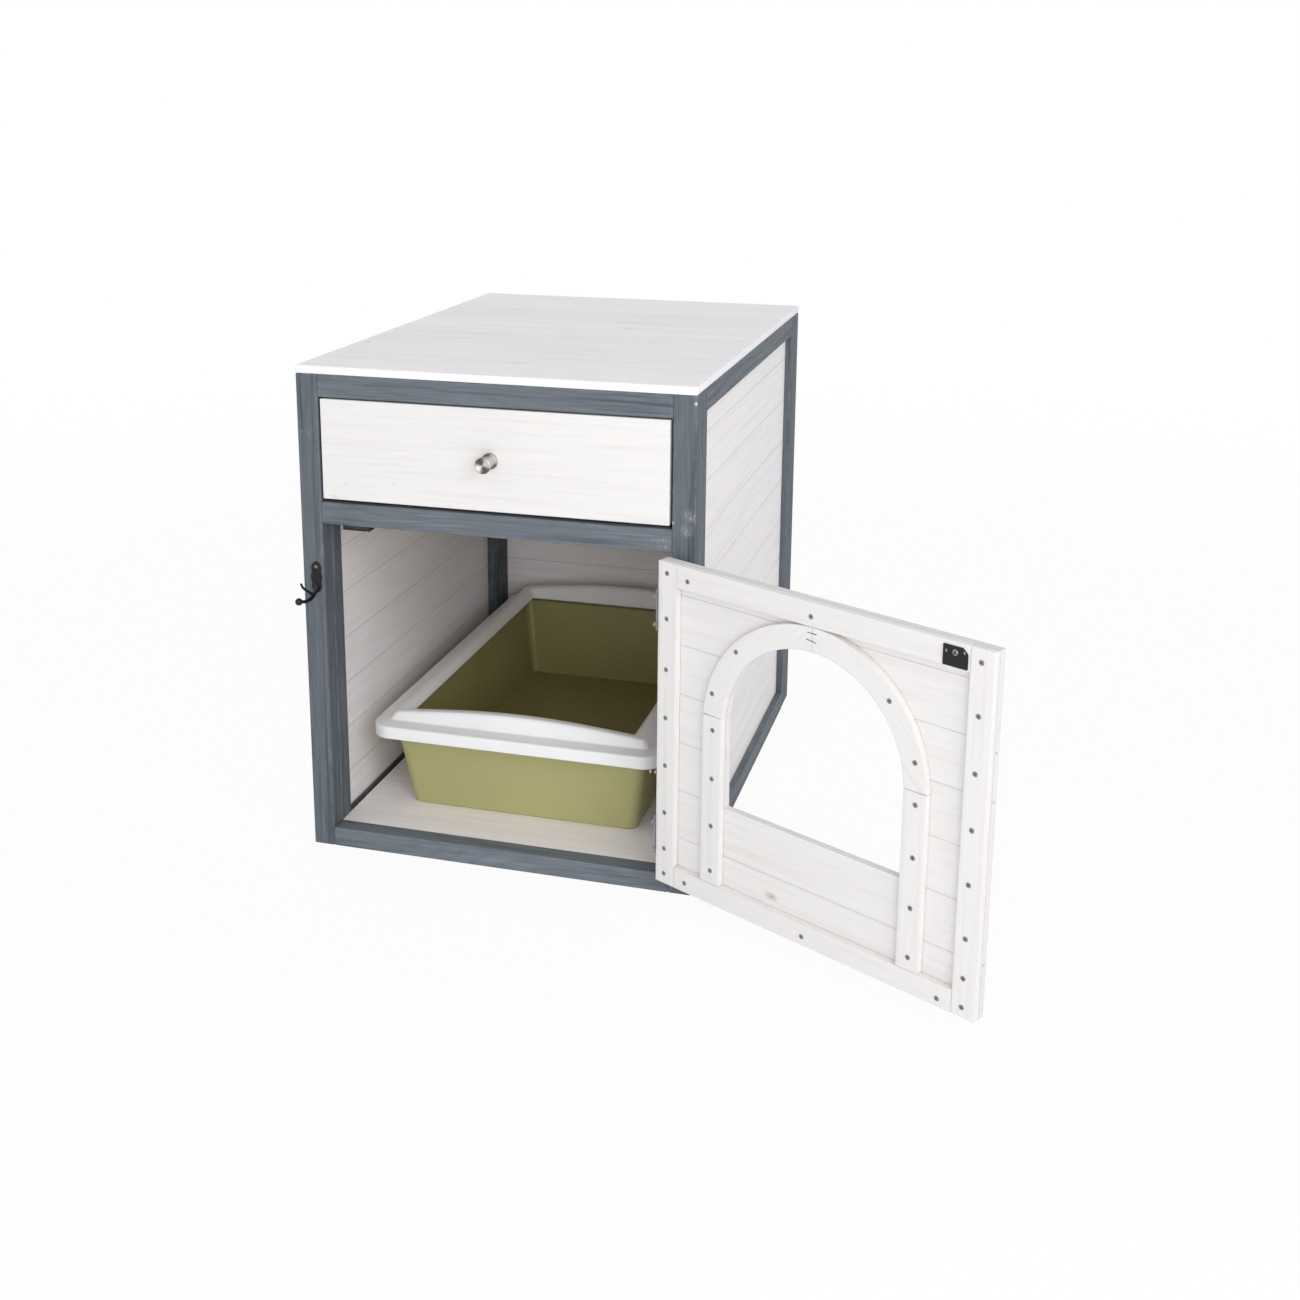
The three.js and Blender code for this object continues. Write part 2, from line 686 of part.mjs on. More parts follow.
const hingeX = openingHalf - DOOR_SIDE_GAP / 2;
const hingeY = frontFace - HINGE_PIN_PROUD;
const doorEdge = -DOOR_SIDE_GAP / 2;
const doorWidth = 2 * openingHalf - 2 * DOOR_SIDE_GAP;
const doorLow = BOTTOM_RAIL_HEIGHT + DOOR_LOW_GAP;
const doorTop = middleRailLow - DOOR_TOP_GAP;
const doorBattenFront = DOOR_BOARD_THICKNESS + FIT;
const doorThickness = doorBattenFront + DOOR_BATTEN_THICKNESS;
const doorTopRailLow = doorTop - DOOR_TOP_RAIL_HEIGHT;
const doorBottomRailTop = doorLow + DOOR_BOTTOM_RAIL_HEIGHT;
const archOuterRadius = ARCH_INNER_RADIUS + ARCH_RING_WIDTH;
const archAcross = doorWidth / 2;
const archCentreZ = doorTopRailLow - FIT - archOuterRadius;
const doorSill = doorLow + DOOR_FIRST_BOARD + DOOR_BOARD_PITCH;

/** A space in the door: u from the hinge edge, v from the outer face, z from the ground. */
function doorSpace(u, v, z) {
  return {
    x: [doorEdge - u[1], doorEdge - u[0]],
    y: [HINGE_PIN_PROUD + v[0], HINGE_PIN_PROUD + v[1]],
    z,
  };
}

const battenLayer = [doorBattenFront, doorThickness];

/** The boards of the door, with the arched cat opening and V grooves on both faces. */
function addDoorBoards(door) {
  const space = doorSpace([0, doorWidth], [0, DOOR_BOARD_THICKNESS], [doorLow, doorTop]);
  const size = sizeOf(space);
  const centre = centreOf(space);
  const section = boardSection(size.y, size.z, DOOR_FIRST_BOARD, DOOR_BOARD_PITCH);
  const boards = turnedTo(extruded(section, size.x), 'y', 'z').translate(centre.x, centre.y, centre.z);
  const opening = new THREE.Shape();
  opening.moveTo(-ARCH_INNER_RADIUS, doorSill - archCentreZ);
  opening.lineTo(ARCH_INNER_RADIUS, doorSill - archCentreZ);
  opening.lineTo(ARCH_INNER_RADIUS, 0);
  opening.absarc(0, 0, ARCH_INNER_RADIUS, 0, Math.PI);
  opening.closePath();
  const cutter = turnedTo(extruded(opening, 3 * DOOR_BOARD_THICKNESS, 2 * ARC_STEPS), 'x', 'z')
    .translate(doorEdge - archAcross, centre.y, archCentreZ);
  door.add(meshInSpace('door_boards', 'whitewash', withCuts(boards, [cutter]), space));
}

function addDoorFrame(door) {
  const ease = DOOR_BATTEN_EASE;
  const height = [doorLow, doorTop];
  const innerU = [DOOR_STILE_WIDTH + FIT, doorWidth - DOOR_STILE_WIDTH - FIT];
  const hingeStile = doorSpace([0, DOOR_STILE_WIDTH], battenLayer, height);
  const freeStile = doorSpace([doorWidth - DOOR_STILE_WIDTH, doorWidth], battenLayer, height);
  const topRail = doorSpace(innerU, battenLayer, [doorTopRailLow, doorTop]);
  const bottomRail = doorSpace(innerU, battenLayer, [doorLow, doorBottomRailTop]);
  door.add(batten('door_hinge_stile', 'whitewash', hingeStile, 'z', [], ease));
  door.add(batten('door_free_stile', 'whitewash', freeStile, 'z', [strikeScrewHole()], ease));
  door.add(batten('door_top_rail', 'whitewash', topRail, 'x', [strikeScrewHole()], ease));
  door.add(batten('door_bottom_rail', 'whitewash', bottomRail, 'x', [], ease));
}

/** The ring round the cat opening: two quarter arches that meet at the crown, and two straight legs. */
function addArchRing(door) {
  const meeting = FIT / 2 / ARCH_INNER_RADIUS;
  const crown = Math.PI / 2;
  const quarters = {
    hinge_side: [meeting, crown - meeting],
    free_side: [crown + meeting, 2 * crown - meeting],
  };
  const middleV = (battenLayer[0] + battenLayer[1]) / 2;
  const centre = new THREE.Vector3(doorEdge - archAcross, HINGE_PIN_PROUD + middleV, archCentreZ);
  for (const [word, [from, to]] of Object.entries(quarters)) {
    const ring = new THREE.Shape();
    ring.absarc(0, 0, archOuterRadius, from, to, false);
    ring.absarc(0, 0, ARCH_INNER_RADIUS, to, from, true);
    ring.closePath();
    const geometry = turnedTo(extruded(ring, DOOR_BATTEN_THICKNESS), 'x', 'z');
    door.add(solidMesh(`door_${word}_arch`, 'whitewash', geometry, centre));
  }
  const legs = {
    hinge_side: [archAcross - archOuterRadius, archAcross - ARCH_INNER_RADIUS],
    free_side: [archAcross + ARCH_INNER_RADIUS, archAcross + archOuterRadius],
  };
  for (const [word, u] of Object.entries(legs)) {
    const leg = doorSpace(u, battenLayer, [doorBottomRailTop + FIT, archCentreZ - FIT / 2]);
    door.add(batten(`door_${word}_leg`, 'whitewash', leg, 'z', [], DOOR_BATTEN_EASE));
  }
}

// ---------------------------------------------------------------- strike plate and magnetic catch

const strikeU = [doorWidth - STRIKE_FREE_EDGE_INSET - STRIKE_WIDTH, doorWidth - STRIKE_FREE_EDGE_INSET];
const strikeZ = [doorTop - STRIKE_TOP_INSET - STRIKE_HEIGHT, doorTop - STRIKE_TOP_INSET];
const strikeScrewZ = Math.max((strikeZ[0] + strikeZ[1]) / 2, doorTopRailLow) + STRIKE_SCREW_RAISE;
const strikeV = doorThickness + FIT;
const strikeCentreX = doorEdge - (strikeU[0] + strikeU[1]) / 2;

/** Hole for the strike plate's screw, through the plate and into the door's batten. */
function strikeScrewHole() {
  const outer = strikeV + STRIKE_THICKNESS + FIT;
  const inner = outer - STRIKE_SCREW_REACH - SCREW_FIT;
  return holeThroughFront(STRIKE_SCREW_RADIUS + SCREW_FIT, [inner, outer])
    .translate(strikeCentreX, HINGE_PIN_PROUD, strikeScrewZ);
}

function addStrikePlate(door) {
  const space = doorSpace(strikeU, [strikeV, strikeV + STRIKE_THICKNESS], strikeZ);
  const halfX = STRIKE_WIDTH / 2;
  const halfZ = STRIKE_HEIGHT / 2;
  // The corner towards the free edge of the door is cut off. The free edge lies towards -x.
  const outline = polygon([
    [-halfX, -halfZ],
    [halfX, -halfZ],
    [halfX, halfZ],
    [STRIKE_CORNER_CUT - halfX, halfZ],
    [-halfX, halfZ - STRIKE_CORNER_CUT],
  ]);
  const centre = centreOf(space);
  const plate = turnedTo(extruded(outline, STRIKE_THICKNESS), 'x', 'z')
    .translate(centre.x, centre.y, centre.z);
  door.add(meshInSpace('strike_plate', 'blackIron', withCuts(plate, [strikeScrewHole()]), space));

  const towardsRoom = new THREE.Matrix4().makeRotationX(-Math.PI / 2);
  const seat = HINGE_PIN_PROUD + strikeV + STRIKE_THICKNESS + FIT;
  const head = { radius: STRIKE_SCREW_HEAD_RADIUS, thickness: STRIKE_SCREW_HEAD_THICKNESS };
  const screw = panScrew(STRIKE_SCREW_RADIUS, STRIKE_SCREW_REACH, head).applyMatrix4(towardsRoom);
  const place = new THREE.Vector3(strikeCentreX, seat, strikeScrewZ);
  door.add(solidMesh('strike_plate_screw', 'zincSteel', screw, place));
}

/** Catch body with a pocket in its front that holds the magnet. */
function addCatch(cabinet) {
  const closedHead = frontFace + strikeV + STRIKE_THICKNESS + FIT + STRIKE_SCREW_HEAD_THICKNESS;
  const front = closedHead + CATCH_HEAD_GAP;
  const left = -openingHalf + CATCH_POST_INSET;
  const space = {
    x: [left, left + CATCH_WIDTH],
    y: [front, front + CATCH_DEPTH],
    z: [middleRailLow - CATCH_HEIGHT, middleRailLow],
  };
  const pocket = {
    x: [space.x[0] + CATCH_WALL, space.x[1] - CATCH_WALL],
    y: [space.y[0] - CATCH_WALL, space.y[1] - CATCH_WALL],
    z: [space.z[0] + CATCH_WALL, space.z[1] - CATCH_WALL],
  };
  const magnet = {
    x: [pocket.x[0] + FIT, pocket.x[1] - FIT],
    y: [space.y[0], pocket.y[1] - FIT],
    z: [pocket.z[0] + FIT, pocket.z[1] - FIT],
  };
  cabinet.add(batten('catch_body', 'blackPlastic', space, 'y', [block(pocket)], DRAWER_FRONT_EASE));
  cabinet.add(batten('catch_magnet', 'magnetSteel', magnet, 'y', [], FIT));
}

// ---------------------------------------------------------------- butt hinges

const knuckleLength = (HINGE_HEIGHT - 2 * FIT) / 3;

/** A leaf with its knuckles, around the pin: side +1 lies on the post, side -1 on the door. */
function hingeLeaf(side, knuckleCentres) {
  const outerX = DOOR_SIDE_GAP / 2 - (side < 0 ? FIT : 0);
  const x = sideSpan(side, outerX - HINGE_LEAF_THICKNESS, outerX);
  const bore = HINGE_PIN_RADIUS + SCREW_FIT;
  const tabStart = (bore + HINGE_KNUCKLE_RADIUS) / 2;
  const leafStart = HINGE_KNUCKLE_RADIUS + FIT;
  const leaf = { x, y: [leafStart, leafStart + HINGE_LEAF_WIDTH], z: [-HINGE_HEIGHT / 2, HINGE_HEIGHT / 2] };
  const parts = [block(leaf)];
  for (const centre of knuckleCentres) {
    const z = [centre - knuckleLength / 2, centre + knuckleLength / 2];
    parts.push(cylinder(HINGE_KNUCKLE_RADIUS, z[0], z[1]));
    parts.push(block({ x, y: [tabStart, leafStart + FIT], z }));
  }
  return withCuts(joined(parts), [cylinder(bore, -HINGE_HEIGHT, HINGE_HEIGHT)]);
}

function addHinges(cabinet, door) {
  const levels = { lower: doorLow + LOWER_HINGE_INSET, upper: doorTop - UPPER_HINGE_INSET };
  const step = knuckleLength + FIT;
  const half = HINGE_HEIGHT / 2;
  for (const [word, level] of Object.entries(levels)) {
    const onPin = new THREE.Vector3(hingeX, hingeY, level);
    cabinet.add(solidMesh(`${word}_hinge_frame_leaf`, 'zincSteel', hingeLeaf(1, [-step, step]), onPin));
    const onDoor = new THREE.Vector3(0, 0, level);
    door.add(solidMesh(`${word}_hinge_door_leaf`, 'zincSteel', hingeLeaf(-1, [0]), onDoor));
    const pin = turned([
      [0, -half - HINGE_PIN_HEAD],
      [HINGE_PIN_RADIUS, -half - HINGE_PIN_HEAD],
      [HINGE_PIN_RADIUS, half + FIT],
      [HINGE_KNUCKLE_RADIUS - FIT, half + FIT],
      [HINGE_KNUCKLE_RADIUS - FIT, half + FIT + HINGE_PIN_HEAD / 2],
      [HINGE_PIN_RADIUS, half + FIT + HINGE_PIN_HEAD],
      [0, half + FIT + HINGE_PIN_HEAD],
    ], SMALL_TURNED_STEPS);
    cabinet.add(solidMesh(`${word}_hinge_pin`, 'zincSteel', pin, onPin));
  }
}

// ---------------------------------------------------------------- scoop hook

const hookX = -halfWidth + HOOK_CENTRE_INSET;
const hookScrewZ = HOOK_CENTRE_HEIGHT + HOOK_PLATE_HEIGHT / 2 - HOOK_PLATE_WIDTH / 2;
const hookLow = HOOK_CENTRE_HEIGHT - HOOK_PLATE_HEIGHT / 2;

function hookScrewHole() {
  return holeThroughFront(HOOK_SCREW_RADIUS + SCREW_FIT, [-BATTEN_DEPTH, HOOK_SCREW_REACH + SCREW_FIT])
    .translate(hookX, frontFace, hookScrewZ);
}

/** A round rod swept along a curve through points given as [forward, height] from the plate's foot. */
function hookRod(points, radius) {
  const path = new THREE.CatmullRomCurve3(points.map(([forward, up]) => (
    new THREE.Vector3(hookX, frontFace - forward, hookLow + up)
  )));
  const section = new THREE.Shape();
  section.absarc(0, 0, radius, 0, 2 * Math.PI);
  const fineness = { steps: PRONG_STEPS, curveSegments: PRONG_SIDES_STEPS };
  return new THREE.ExtrudeGeometry(section, { ...fineness, extrudePath: path, bevelEnabled: false });
}

/** A cast double hook: a long plate, a heavy prong that ends in a ball, and a thin upper tine. */
function addScoopHook(cabinet) {
  const outline = roundedRectangle(HOOK_PLATE_WIDTH, HOOK_PLATE_HEIGHT, HOOK_PLATE_WIDTH / 2 - FIT);
  const plate = turnedTo(extruded(outline, HOOK_PLATE_THICKNESS, PRONG_SIDES_STEPS), 'x', 'z')
    .translate(hookX, frontFace - HOOK_PLATE_THICKNESS / 2, HOOK_CENTRE_HEIGHT);
  const sunk = HOOK_PLATE_THICKNESS / 2;
  const ballUp = 3.5;
  const prong = hookRod([
    [sunk + HOOK_PRONG_RADIUS / 2, 9],
    [HOOK_REACH * 0.14, 1.5],
    [HOOK_REACH * 0.36, -2.6],
    [HOOK_REACH * 0.66, -1.6],
    [HOOK_REACH, ballUp],
  ], HOOK_PRONG_RADIUS);
  const tine = hookRod([
    [HOOK_TINE_REACH * 0.2, -0.5],
    [HOOK_TINE_REACH * 0.42, 3.4],
    [HOOK_TINE_REACH * 0.68, 11.4],
    [HOOK_TINE_REACH * 0.9, 18.4],
    [HOOK_TINE_REACH, 22.2],
  ], HOOK_TINE_RADIUS);
  const ball = new THREE.SphereGeometry(HOOK_BALL_RADIUS, 16, 10)
    .translate(hookX, frontFace - HOOK_REACH, hookLow + ballUp);
  const hook = withCuts(joined([plate, prong, tine, ball]), [hookScrewHole()]);
  const centre = new THREE.Vector3(hookX, frontFace, HOOK_CENTRE_HEIGHT);
  hook.translate(-centre.x, -centre.y, -centre.z);
  cabinet.add(solidMesh('scoop_hook', 'blackIron', hook, centre));

  const outward = new THREE.Matrix4().makeRotationX(Math.PI / 2);
  const reach = HOOK_PLATE_THICKNESS + HOOK_SCREW_REACH;
  const headSize = { radius: HOOK_SCREW_HEAD_RADIUS, thickness: HOOK_SCREW_HEAD_THICKNESS };
  const screw = panScrew(HOOK_SCREW_RADIUS, reach, headSize).applyMatrix4(outward);
  const head = new THREE.Vector3(hookX, frontFace - HOOK_PLATE_THICKNESS, hookScrewZ);
  cabinet.add(solidMesh('hook_screw', 'blackIron', screw, head));
}

// ---------------------------------------------------------------- litter tray

/** Outline of a rounded rectangle, anticlockwise, with extra points along its two short ends. */
function trayOutline(halfX, halfY, radius) {
  const points = [];
  const corners = [[1, 1, 0], [-1, 1, 1], [-1, -1, 2], [1, -1, 3]];
  for (const [signX, signY, quarter] of corners) {
    const x = signX * (halfX - radius);
    const y = signY * (halfY - radius);
    for (let step = 0; step <= TRAY_CORNER_STEPS; step += 1) {
      const angle = (quarter + step / TRAY_CORNER_STEPS) * Math.PI / 2;
      points.push([x + radius * Math.cos(angle), y + radius * Math.sin(angle)]);
    }
    const endFollows = quarter % 2 === 0;
    for (let step = 1; endFollows && step < TRAY_END_STEPS; step += 1) {
      points.push([x * (1 - 2 * step / TRAY_END_STEPS), y + signY * radius]);
    }
  }
  return points;
}

/**
 * One level of the tray: a rounded rectangle set in from the rim's outer edge. It takes its share of
 * the ridge's rise, which grows towards the rear and bows up in the middle of both ends.
 */
function trayRing(inset, z, radius, share = 0) {
  const halfX = rimWidth / 2 - inset;
  const halfY = rimLength / 2 - inset;
  return trayOutline(halfX, halfY, radius).map(([x, y]) => {
    const bow = y > 0 ? RIM_REAR_BOW : RIM_FRONT_BOW;
    const bowed = Math.abs(y) > halfY - radius ? bow * Math.cos(Math.PI * x / (2 * halfX)) : 0;
    const risen = RIM_REAR_RISE * (y + halfY) / (2 * halfY);
    return [x, y, z + share * (bowed + risen)];
  });
}

/** Skins a row of rings: closed into a loop, or capped flat at its first and last ring. */
function loft(rings, loop) {
  const count = rings[0].length;
  const positions = rings.flat(2);
  const faces = [];
  const bands = loop ? rings.length : rings.length - 1;
  for (let band = 0; band < bands; band += 1) {
    const next = (band + 1) % rings.length;
    for (let i = 0; i < count; i += 1) {
      const j = (i + 1) % count;
      faces.push(band * count + i, band * count + j, next * count + j);
      faces.push(band * count + i, next * count + j, next * count + i);
    }
  }
  if (!loop) {
    const last = (rings.length - 1) * count;
    for (let i = 1; i < count - 1; i += 1) {
      faces.push(0, i + 1, i);
      faces.push(last, last + i, last + i + 1);
    }
  }
  const geometry = new THREE.BufferGeometry();
  geometry.setAttribute('position', new THREE.Float32BufferAttribute(positions, 3));
  geometry.setIndex(faces);
  geometry.computeVertexNormals();
  return geometry;
}

const trayPlace = new THREE.Vector3((trayLeft + trayRight) / 2, (trayFront + trayRear) / 2, floorTop + FIT);
const rimSeat = PAN_HEIGHT + FIT;

/** The pan: sloping walls on a flat floor, with a flange at the top that carries the rim. */
function addPan(tray) {
  const foot = PAN_TOP_INSET + PAN_SLOPE;
  const flangeEdge = RIM_WALL + 1.5;
  const under = PAN_HEIGHT - PAN_WALL;
  const radius = PAN_CORNER_RADIUS;
  const rings = [
    trayRing(foot + PAN_FOOT_RADIUS, 0, radius - PAN_FOOT_RADIUS),
    trayRing(foot + PAN_FOOT_RADIUS * 0.3, PAN_FOOT_RADIUS * 0.3, radius - PAN_FOOT_RADIUS * 0.3),
    trayRing(foot, PAN_FOOT_RADIUS, radius),
    trayRing(PAN_TOP_INSET, under, radius),
    trayRing(flangeEdge, under, RIM_CORNER_RADIUS - flangeEdge),
    trayRing(flangeEdge, PAN_HEIGHT, RIM_CORNER_RADIUS - flangeEdge),
    trayRing(PAN_TOP_INSET + PAN_WALL, PAN_HEIGHT, radius - PAN_WALL),
    trayRing(foot + PAN_WALL, PAN_FOOT_RADIUS + PAN_WALL, radius - PAN_WALL),
    trayRing(foot + PAN_WALL + PAN_FOOT_RADIUS * 0.7, PAN_WALL, radius - PAN_WALL - PAN_FOOT_RADIUS * 0.7),
  ];
  tray.add(solidMesh('litter_pan', 'olivePlastic', loft(rings, false)));
}

/** The rim: a skirt, a flange that rests on the pan, and a raised ridge round the opening. */
function addRim(tray) {
  const flangeTop = RIM_WALL;
  const ridgeFoot = RIM_FLANGE_WIDTH;
  const ridgeStart = ridgeFoot + RIM_RIDGE_LEAN;
  const ridgeEnd = ridgeStart + RIM_RIDGE_WIDTH;
  const soft = 3;
  const crest = (ridgeStart + ridgeEnd) / 2;
  const ridgeTop = flangeTop + RIM_RIDGE_HEIGHT;
  const inner = ridgeEnd + RIM_INNER_SLOPE;
  const innerTop = flangeTop + RIM_INNER_HEIGHT;
  const wall = RIM_WALL;
  // Each level is [inset from the outer edge, height above the seat, share of the bow].
  const section = [
    [0, -RIM_SKIRT_DROP, 0],
    [0, flangeTop - soft, 0],
    [soft * 0.3, flangeTop - soft * 0.3, 0],
    [soft, flangeTop, 0],
    [ridgeFoot - soft / 2, flangeTop + soft * 0.2, 0],
    [ridgeFoot + soft / 2, flangeTop + soft * 0.8, 0],
    [ridgeStart - soft / 2, ridgeTop - soft, 0.9],
    [ridgeStart + soft / 2, ridgeTop - soft * 0.3, 1],
    [crest, ridgeTop, 1],
    [ridgeEnd - soft / 2, ridgeTop - soft * 0.3, 1],
    [ridgeEnd + soft / 2, ridgeTop - soft, 0.9],
    [inner, innerTop, 0],
    [inner - wall, innerTop - wall / 2, 0],
    [ridgeEnd - soft, ridgeTop - soft - wall, 0.9],
    [ridgeStart + soft, ridgeTop - soft - wall, 0.9],
    [ridgeFoot + wall + soft / 2, wall, 0],
    [ridgeFoot + wall, 0, 0],
    [wall, 0, 0],
    [wall, -RIM_SKIRT_DROP, 0],
  ];
  const rings = section.map(([inset, height, share]) => {
    const radius = Math.max(RIM_CORNER_RADIUS - inset, soft * 2);
    return trayRing(inset, rimSeat + height, radius, share);
  });
  tray.add(solidMesh('pan_rim', 'whitePlastic', loft(rings, true)));
}

// ---------------------------------------------------------------- assembly

function buildCabinet() {
  const cabinet = new THREE.Group();
  addFrontFrame(cabinet);
  for (const [word, side] of Object.entries(SIDES)) {
    addSideFrame(cabinet, word, side);
    addSideWall(cabinet, word, side, word === 'left' ? LEFT_FIRST_BOARD : RIGHT_FIRST_BOARD);
    addCornerBatten(cabinet, word, side);
  }
  addRearFrame(cabinet);
  addBackWall(cabinet);
  addFloor(cabinet);
  addTopPanel(cabinet);
  addDrawerRunners(cabinet);
  addDrawer(cabinet);
  addKnob(cabinet);
  addCatch(cabinet);
  addScoopHook(cabinet);

  const door = new THREE.Group();
  door.position.set(hingeX, hingeY, 0);
  door.rotation.z = THREE.MathUtils.degToRad(DOOR_OPEN_DEGREES);
  addDoorBoards(door);
  addDoorFrame(door);
  addArchRing(door);
  addStrikePlate(door);
  addHinges(cabinet, door);
  cabinet.add(door);

  const tray = new THREE.Group();
  tray.position.copy(trayPlace);
  addPan(tray);
  addRim(tray);
  cabinet.add(tray);
  return cabinet;
}

export default buildCabinet();
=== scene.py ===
"""Timber, plastic and metal surfaces of a cat litter box cabinet, made around its construction frame.

Metres, +Z up, front towards -Y. The door is worked out as if it were closed and is then swung open.
"""

import json
import math
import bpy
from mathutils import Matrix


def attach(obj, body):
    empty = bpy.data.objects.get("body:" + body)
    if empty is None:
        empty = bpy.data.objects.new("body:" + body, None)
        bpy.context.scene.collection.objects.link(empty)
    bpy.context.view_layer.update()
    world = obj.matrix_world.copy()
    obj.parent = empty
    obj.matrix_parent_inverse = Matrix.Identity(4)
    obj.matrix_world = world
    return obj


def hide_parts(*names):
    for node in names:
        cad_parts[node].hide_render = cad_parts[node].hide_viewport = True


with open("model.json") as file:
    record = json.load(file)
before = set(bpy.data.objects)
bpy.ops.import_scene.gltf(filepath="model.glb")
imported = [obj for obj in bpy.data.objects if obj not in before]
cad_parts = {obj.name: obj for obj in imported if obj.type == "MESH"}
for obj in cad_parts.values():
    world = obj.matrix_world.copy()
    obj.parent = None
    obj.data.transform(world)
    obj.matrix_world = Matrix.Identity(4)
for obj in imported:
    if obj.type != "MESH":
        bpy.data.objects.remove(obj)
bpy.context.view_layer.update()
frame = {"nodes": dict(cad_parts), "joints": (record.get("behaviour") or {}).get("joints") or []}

import zlib
from collections import namedtuple

import bpy
import numpy as np
from bpy.props import FloatProperty, FloatVectorProperty, IntProperty, PointerProperty
from bpy.types import Operator, Panel, PropertyGroup
from mathutils import Matrix
from mathutils.geometry import tessellate_polygon

bl_info = {
    "name": "Cat litter box cabinet",
    "version": (1, 0, 0),
    "blender": (4, 5, 0),
    "location": "3D View > Sidebar > Cabinet",
    "description": "Makes the boards, battens, tray, hardware and stage of a litter box cabinet",
    "category": "Object",
}

MM = 0.001
X, Y, Z = 0, 1, 2
ARC_STEPS = 4
# Points this far inside a board's faces belong to its grooves, and this near a rail's inside to its lip
FACE_CLEAR, LIP_CLEAR = 0.3 * MM, 3 * MM
# How far wear runs onto the faces of an L-shaped batten, and onto a board from its joints
CUT_BAND, JOINT_BAND = 0.6 * MM, 1.2 * MM


# ---------------------------------------------------------------- colours


def linear(hex_colour):
    """An sRGB colour written as hex, as linear red, green and blue."""
    values = np.array([int(hex_colour[i : i + 2], 16) for i in (1, 3, 5)]) / 255
    low = values / 12.92
    high = ((values + 0.055) / 1.055) ** 2.4
    return tuple(float(v) for v in np.where(values <= 0.04045, low, high))


def colour_property(name, description, hex_colour):
    """A property for a colour that is given as sRGB hex."""
    return FloatVectorProperty(
        name=name, description=description, subtype="COLOR", size=3, min=0, max=1, default=linear(hex_colour)
    )


def length_property(name, description, millimetres):
    """A property for a length that is given in millimetres."""
    return FloatProperty(
        name=name, description=description, subtype="DISTANCE", unit="LENGTH", default=millimetres * MM
    )


def angle_property(name, description, degrees):
    """A property for an angle that is given in degrees."""
    return FloatProperty(name=name, description=description, subtype="ANGLE", default=math.radians(degrees))


def power_property(name, description, watts):
    """A property for the power of a lamp."""
    return FloatProperty(name=name, description=description, unit="POWER", default=watts)


class CabinetColours(PropertyGroup):
    """Colours of the cabinet's finishes."""

    stain: colour_property("Stain", "Blue-grey stain on the battens", "#6a7179")
    stain_dark: colour_property("Stain in soft grain", "Stain where it soaked in", "#4e555e")
    stain_pale: colour_property("Stain on hard grain", "Stain where it was wiped thin", "#818891")
    scuff: colour_property("Scuffs", "Dry white marks on the stain", "#c9ced2")
    board_wash: colour_property("Whitewash", "White wash on the boards", "#e9e7e6")
    board_shade: colour_property("Whitewash in soft grain", "Grain that shows through", "#e2dfdd")
    wash_joint: colour_property("Board joints", "Bare wood in the joints between boards", "#8f8584")
    # The knot colour also paints the shade of the dents in the door's free ends.
    wash_knot_and_dent_shade: colour_property("Knots", "Knots under the whitewash", "#a89a93")
    # Painted light: the wall, floor and top panel washes are lighter copies of the board wash, to brighten
    # the cabinet's inside and top.
    wall_wash: colour_property("Wall whitewash", "Thinner white wash on the wall boards", "#f5f2f3")
    wall_shade: colour_property("Wall soft grain", "Grain through the thinner wash", "#eee9ea")
    floor_wash: colour_property("Floor whitewash", "White wash on the floor boards", "#fcf7f9")
    floor_shade: colour_property("Floor soft grain", "Grain through the floor's wash", "#f4eef0")
    panel_wash: colour_property("Top panel whitewash", "White wash on the top panel", "#faf8fb")
    panel_shade: colour_property("Top panel grain", "Grain through the top panel's wash", "#f1eef2")
    pine: colour_property("Planed pine", "Unpainted timber", "#dcc39a")
    pine_late: colour_property("Pine late wood", "Darker growth rings", "#b98f5e")
    olive: colour_property("Olive plastic", "Litter pan", "#b0ac78")
    # Painted shade: the inside of the pan is drawn in this darker olive.
    olive_inside_shade: colour_property("Inside of the pan", "Duller skin inside the litter pan", "#a19b66")
    white_plastic: colour_property("White plastic", "Rim of the litter pan", "#f1f2f3")
    steel: colour_property("Stainless steel", "Drawer knob", "#bdb8b4")
    zinc: colour_property("Zinc plating", "Screws and hinges", "#a0a2a4")
    # Painted shade: the colour of a screw's recessed cross.
    recess_shade: colour_property("Recess", "Dark pit of a screw's cross", "#3b3c3e")
    black_enamel: colour_property("Black enamel", "Hook and strike plate", "#17171b")
    black_plastic: colour_property("Black plastic", "Body of the catch", "#222327")
    magnet: colour_property("Magnet", "Ground face of the magnet", "#46484a")
    floor: colour_property("Floor", "Pale studio floor", "#f4f4f5")


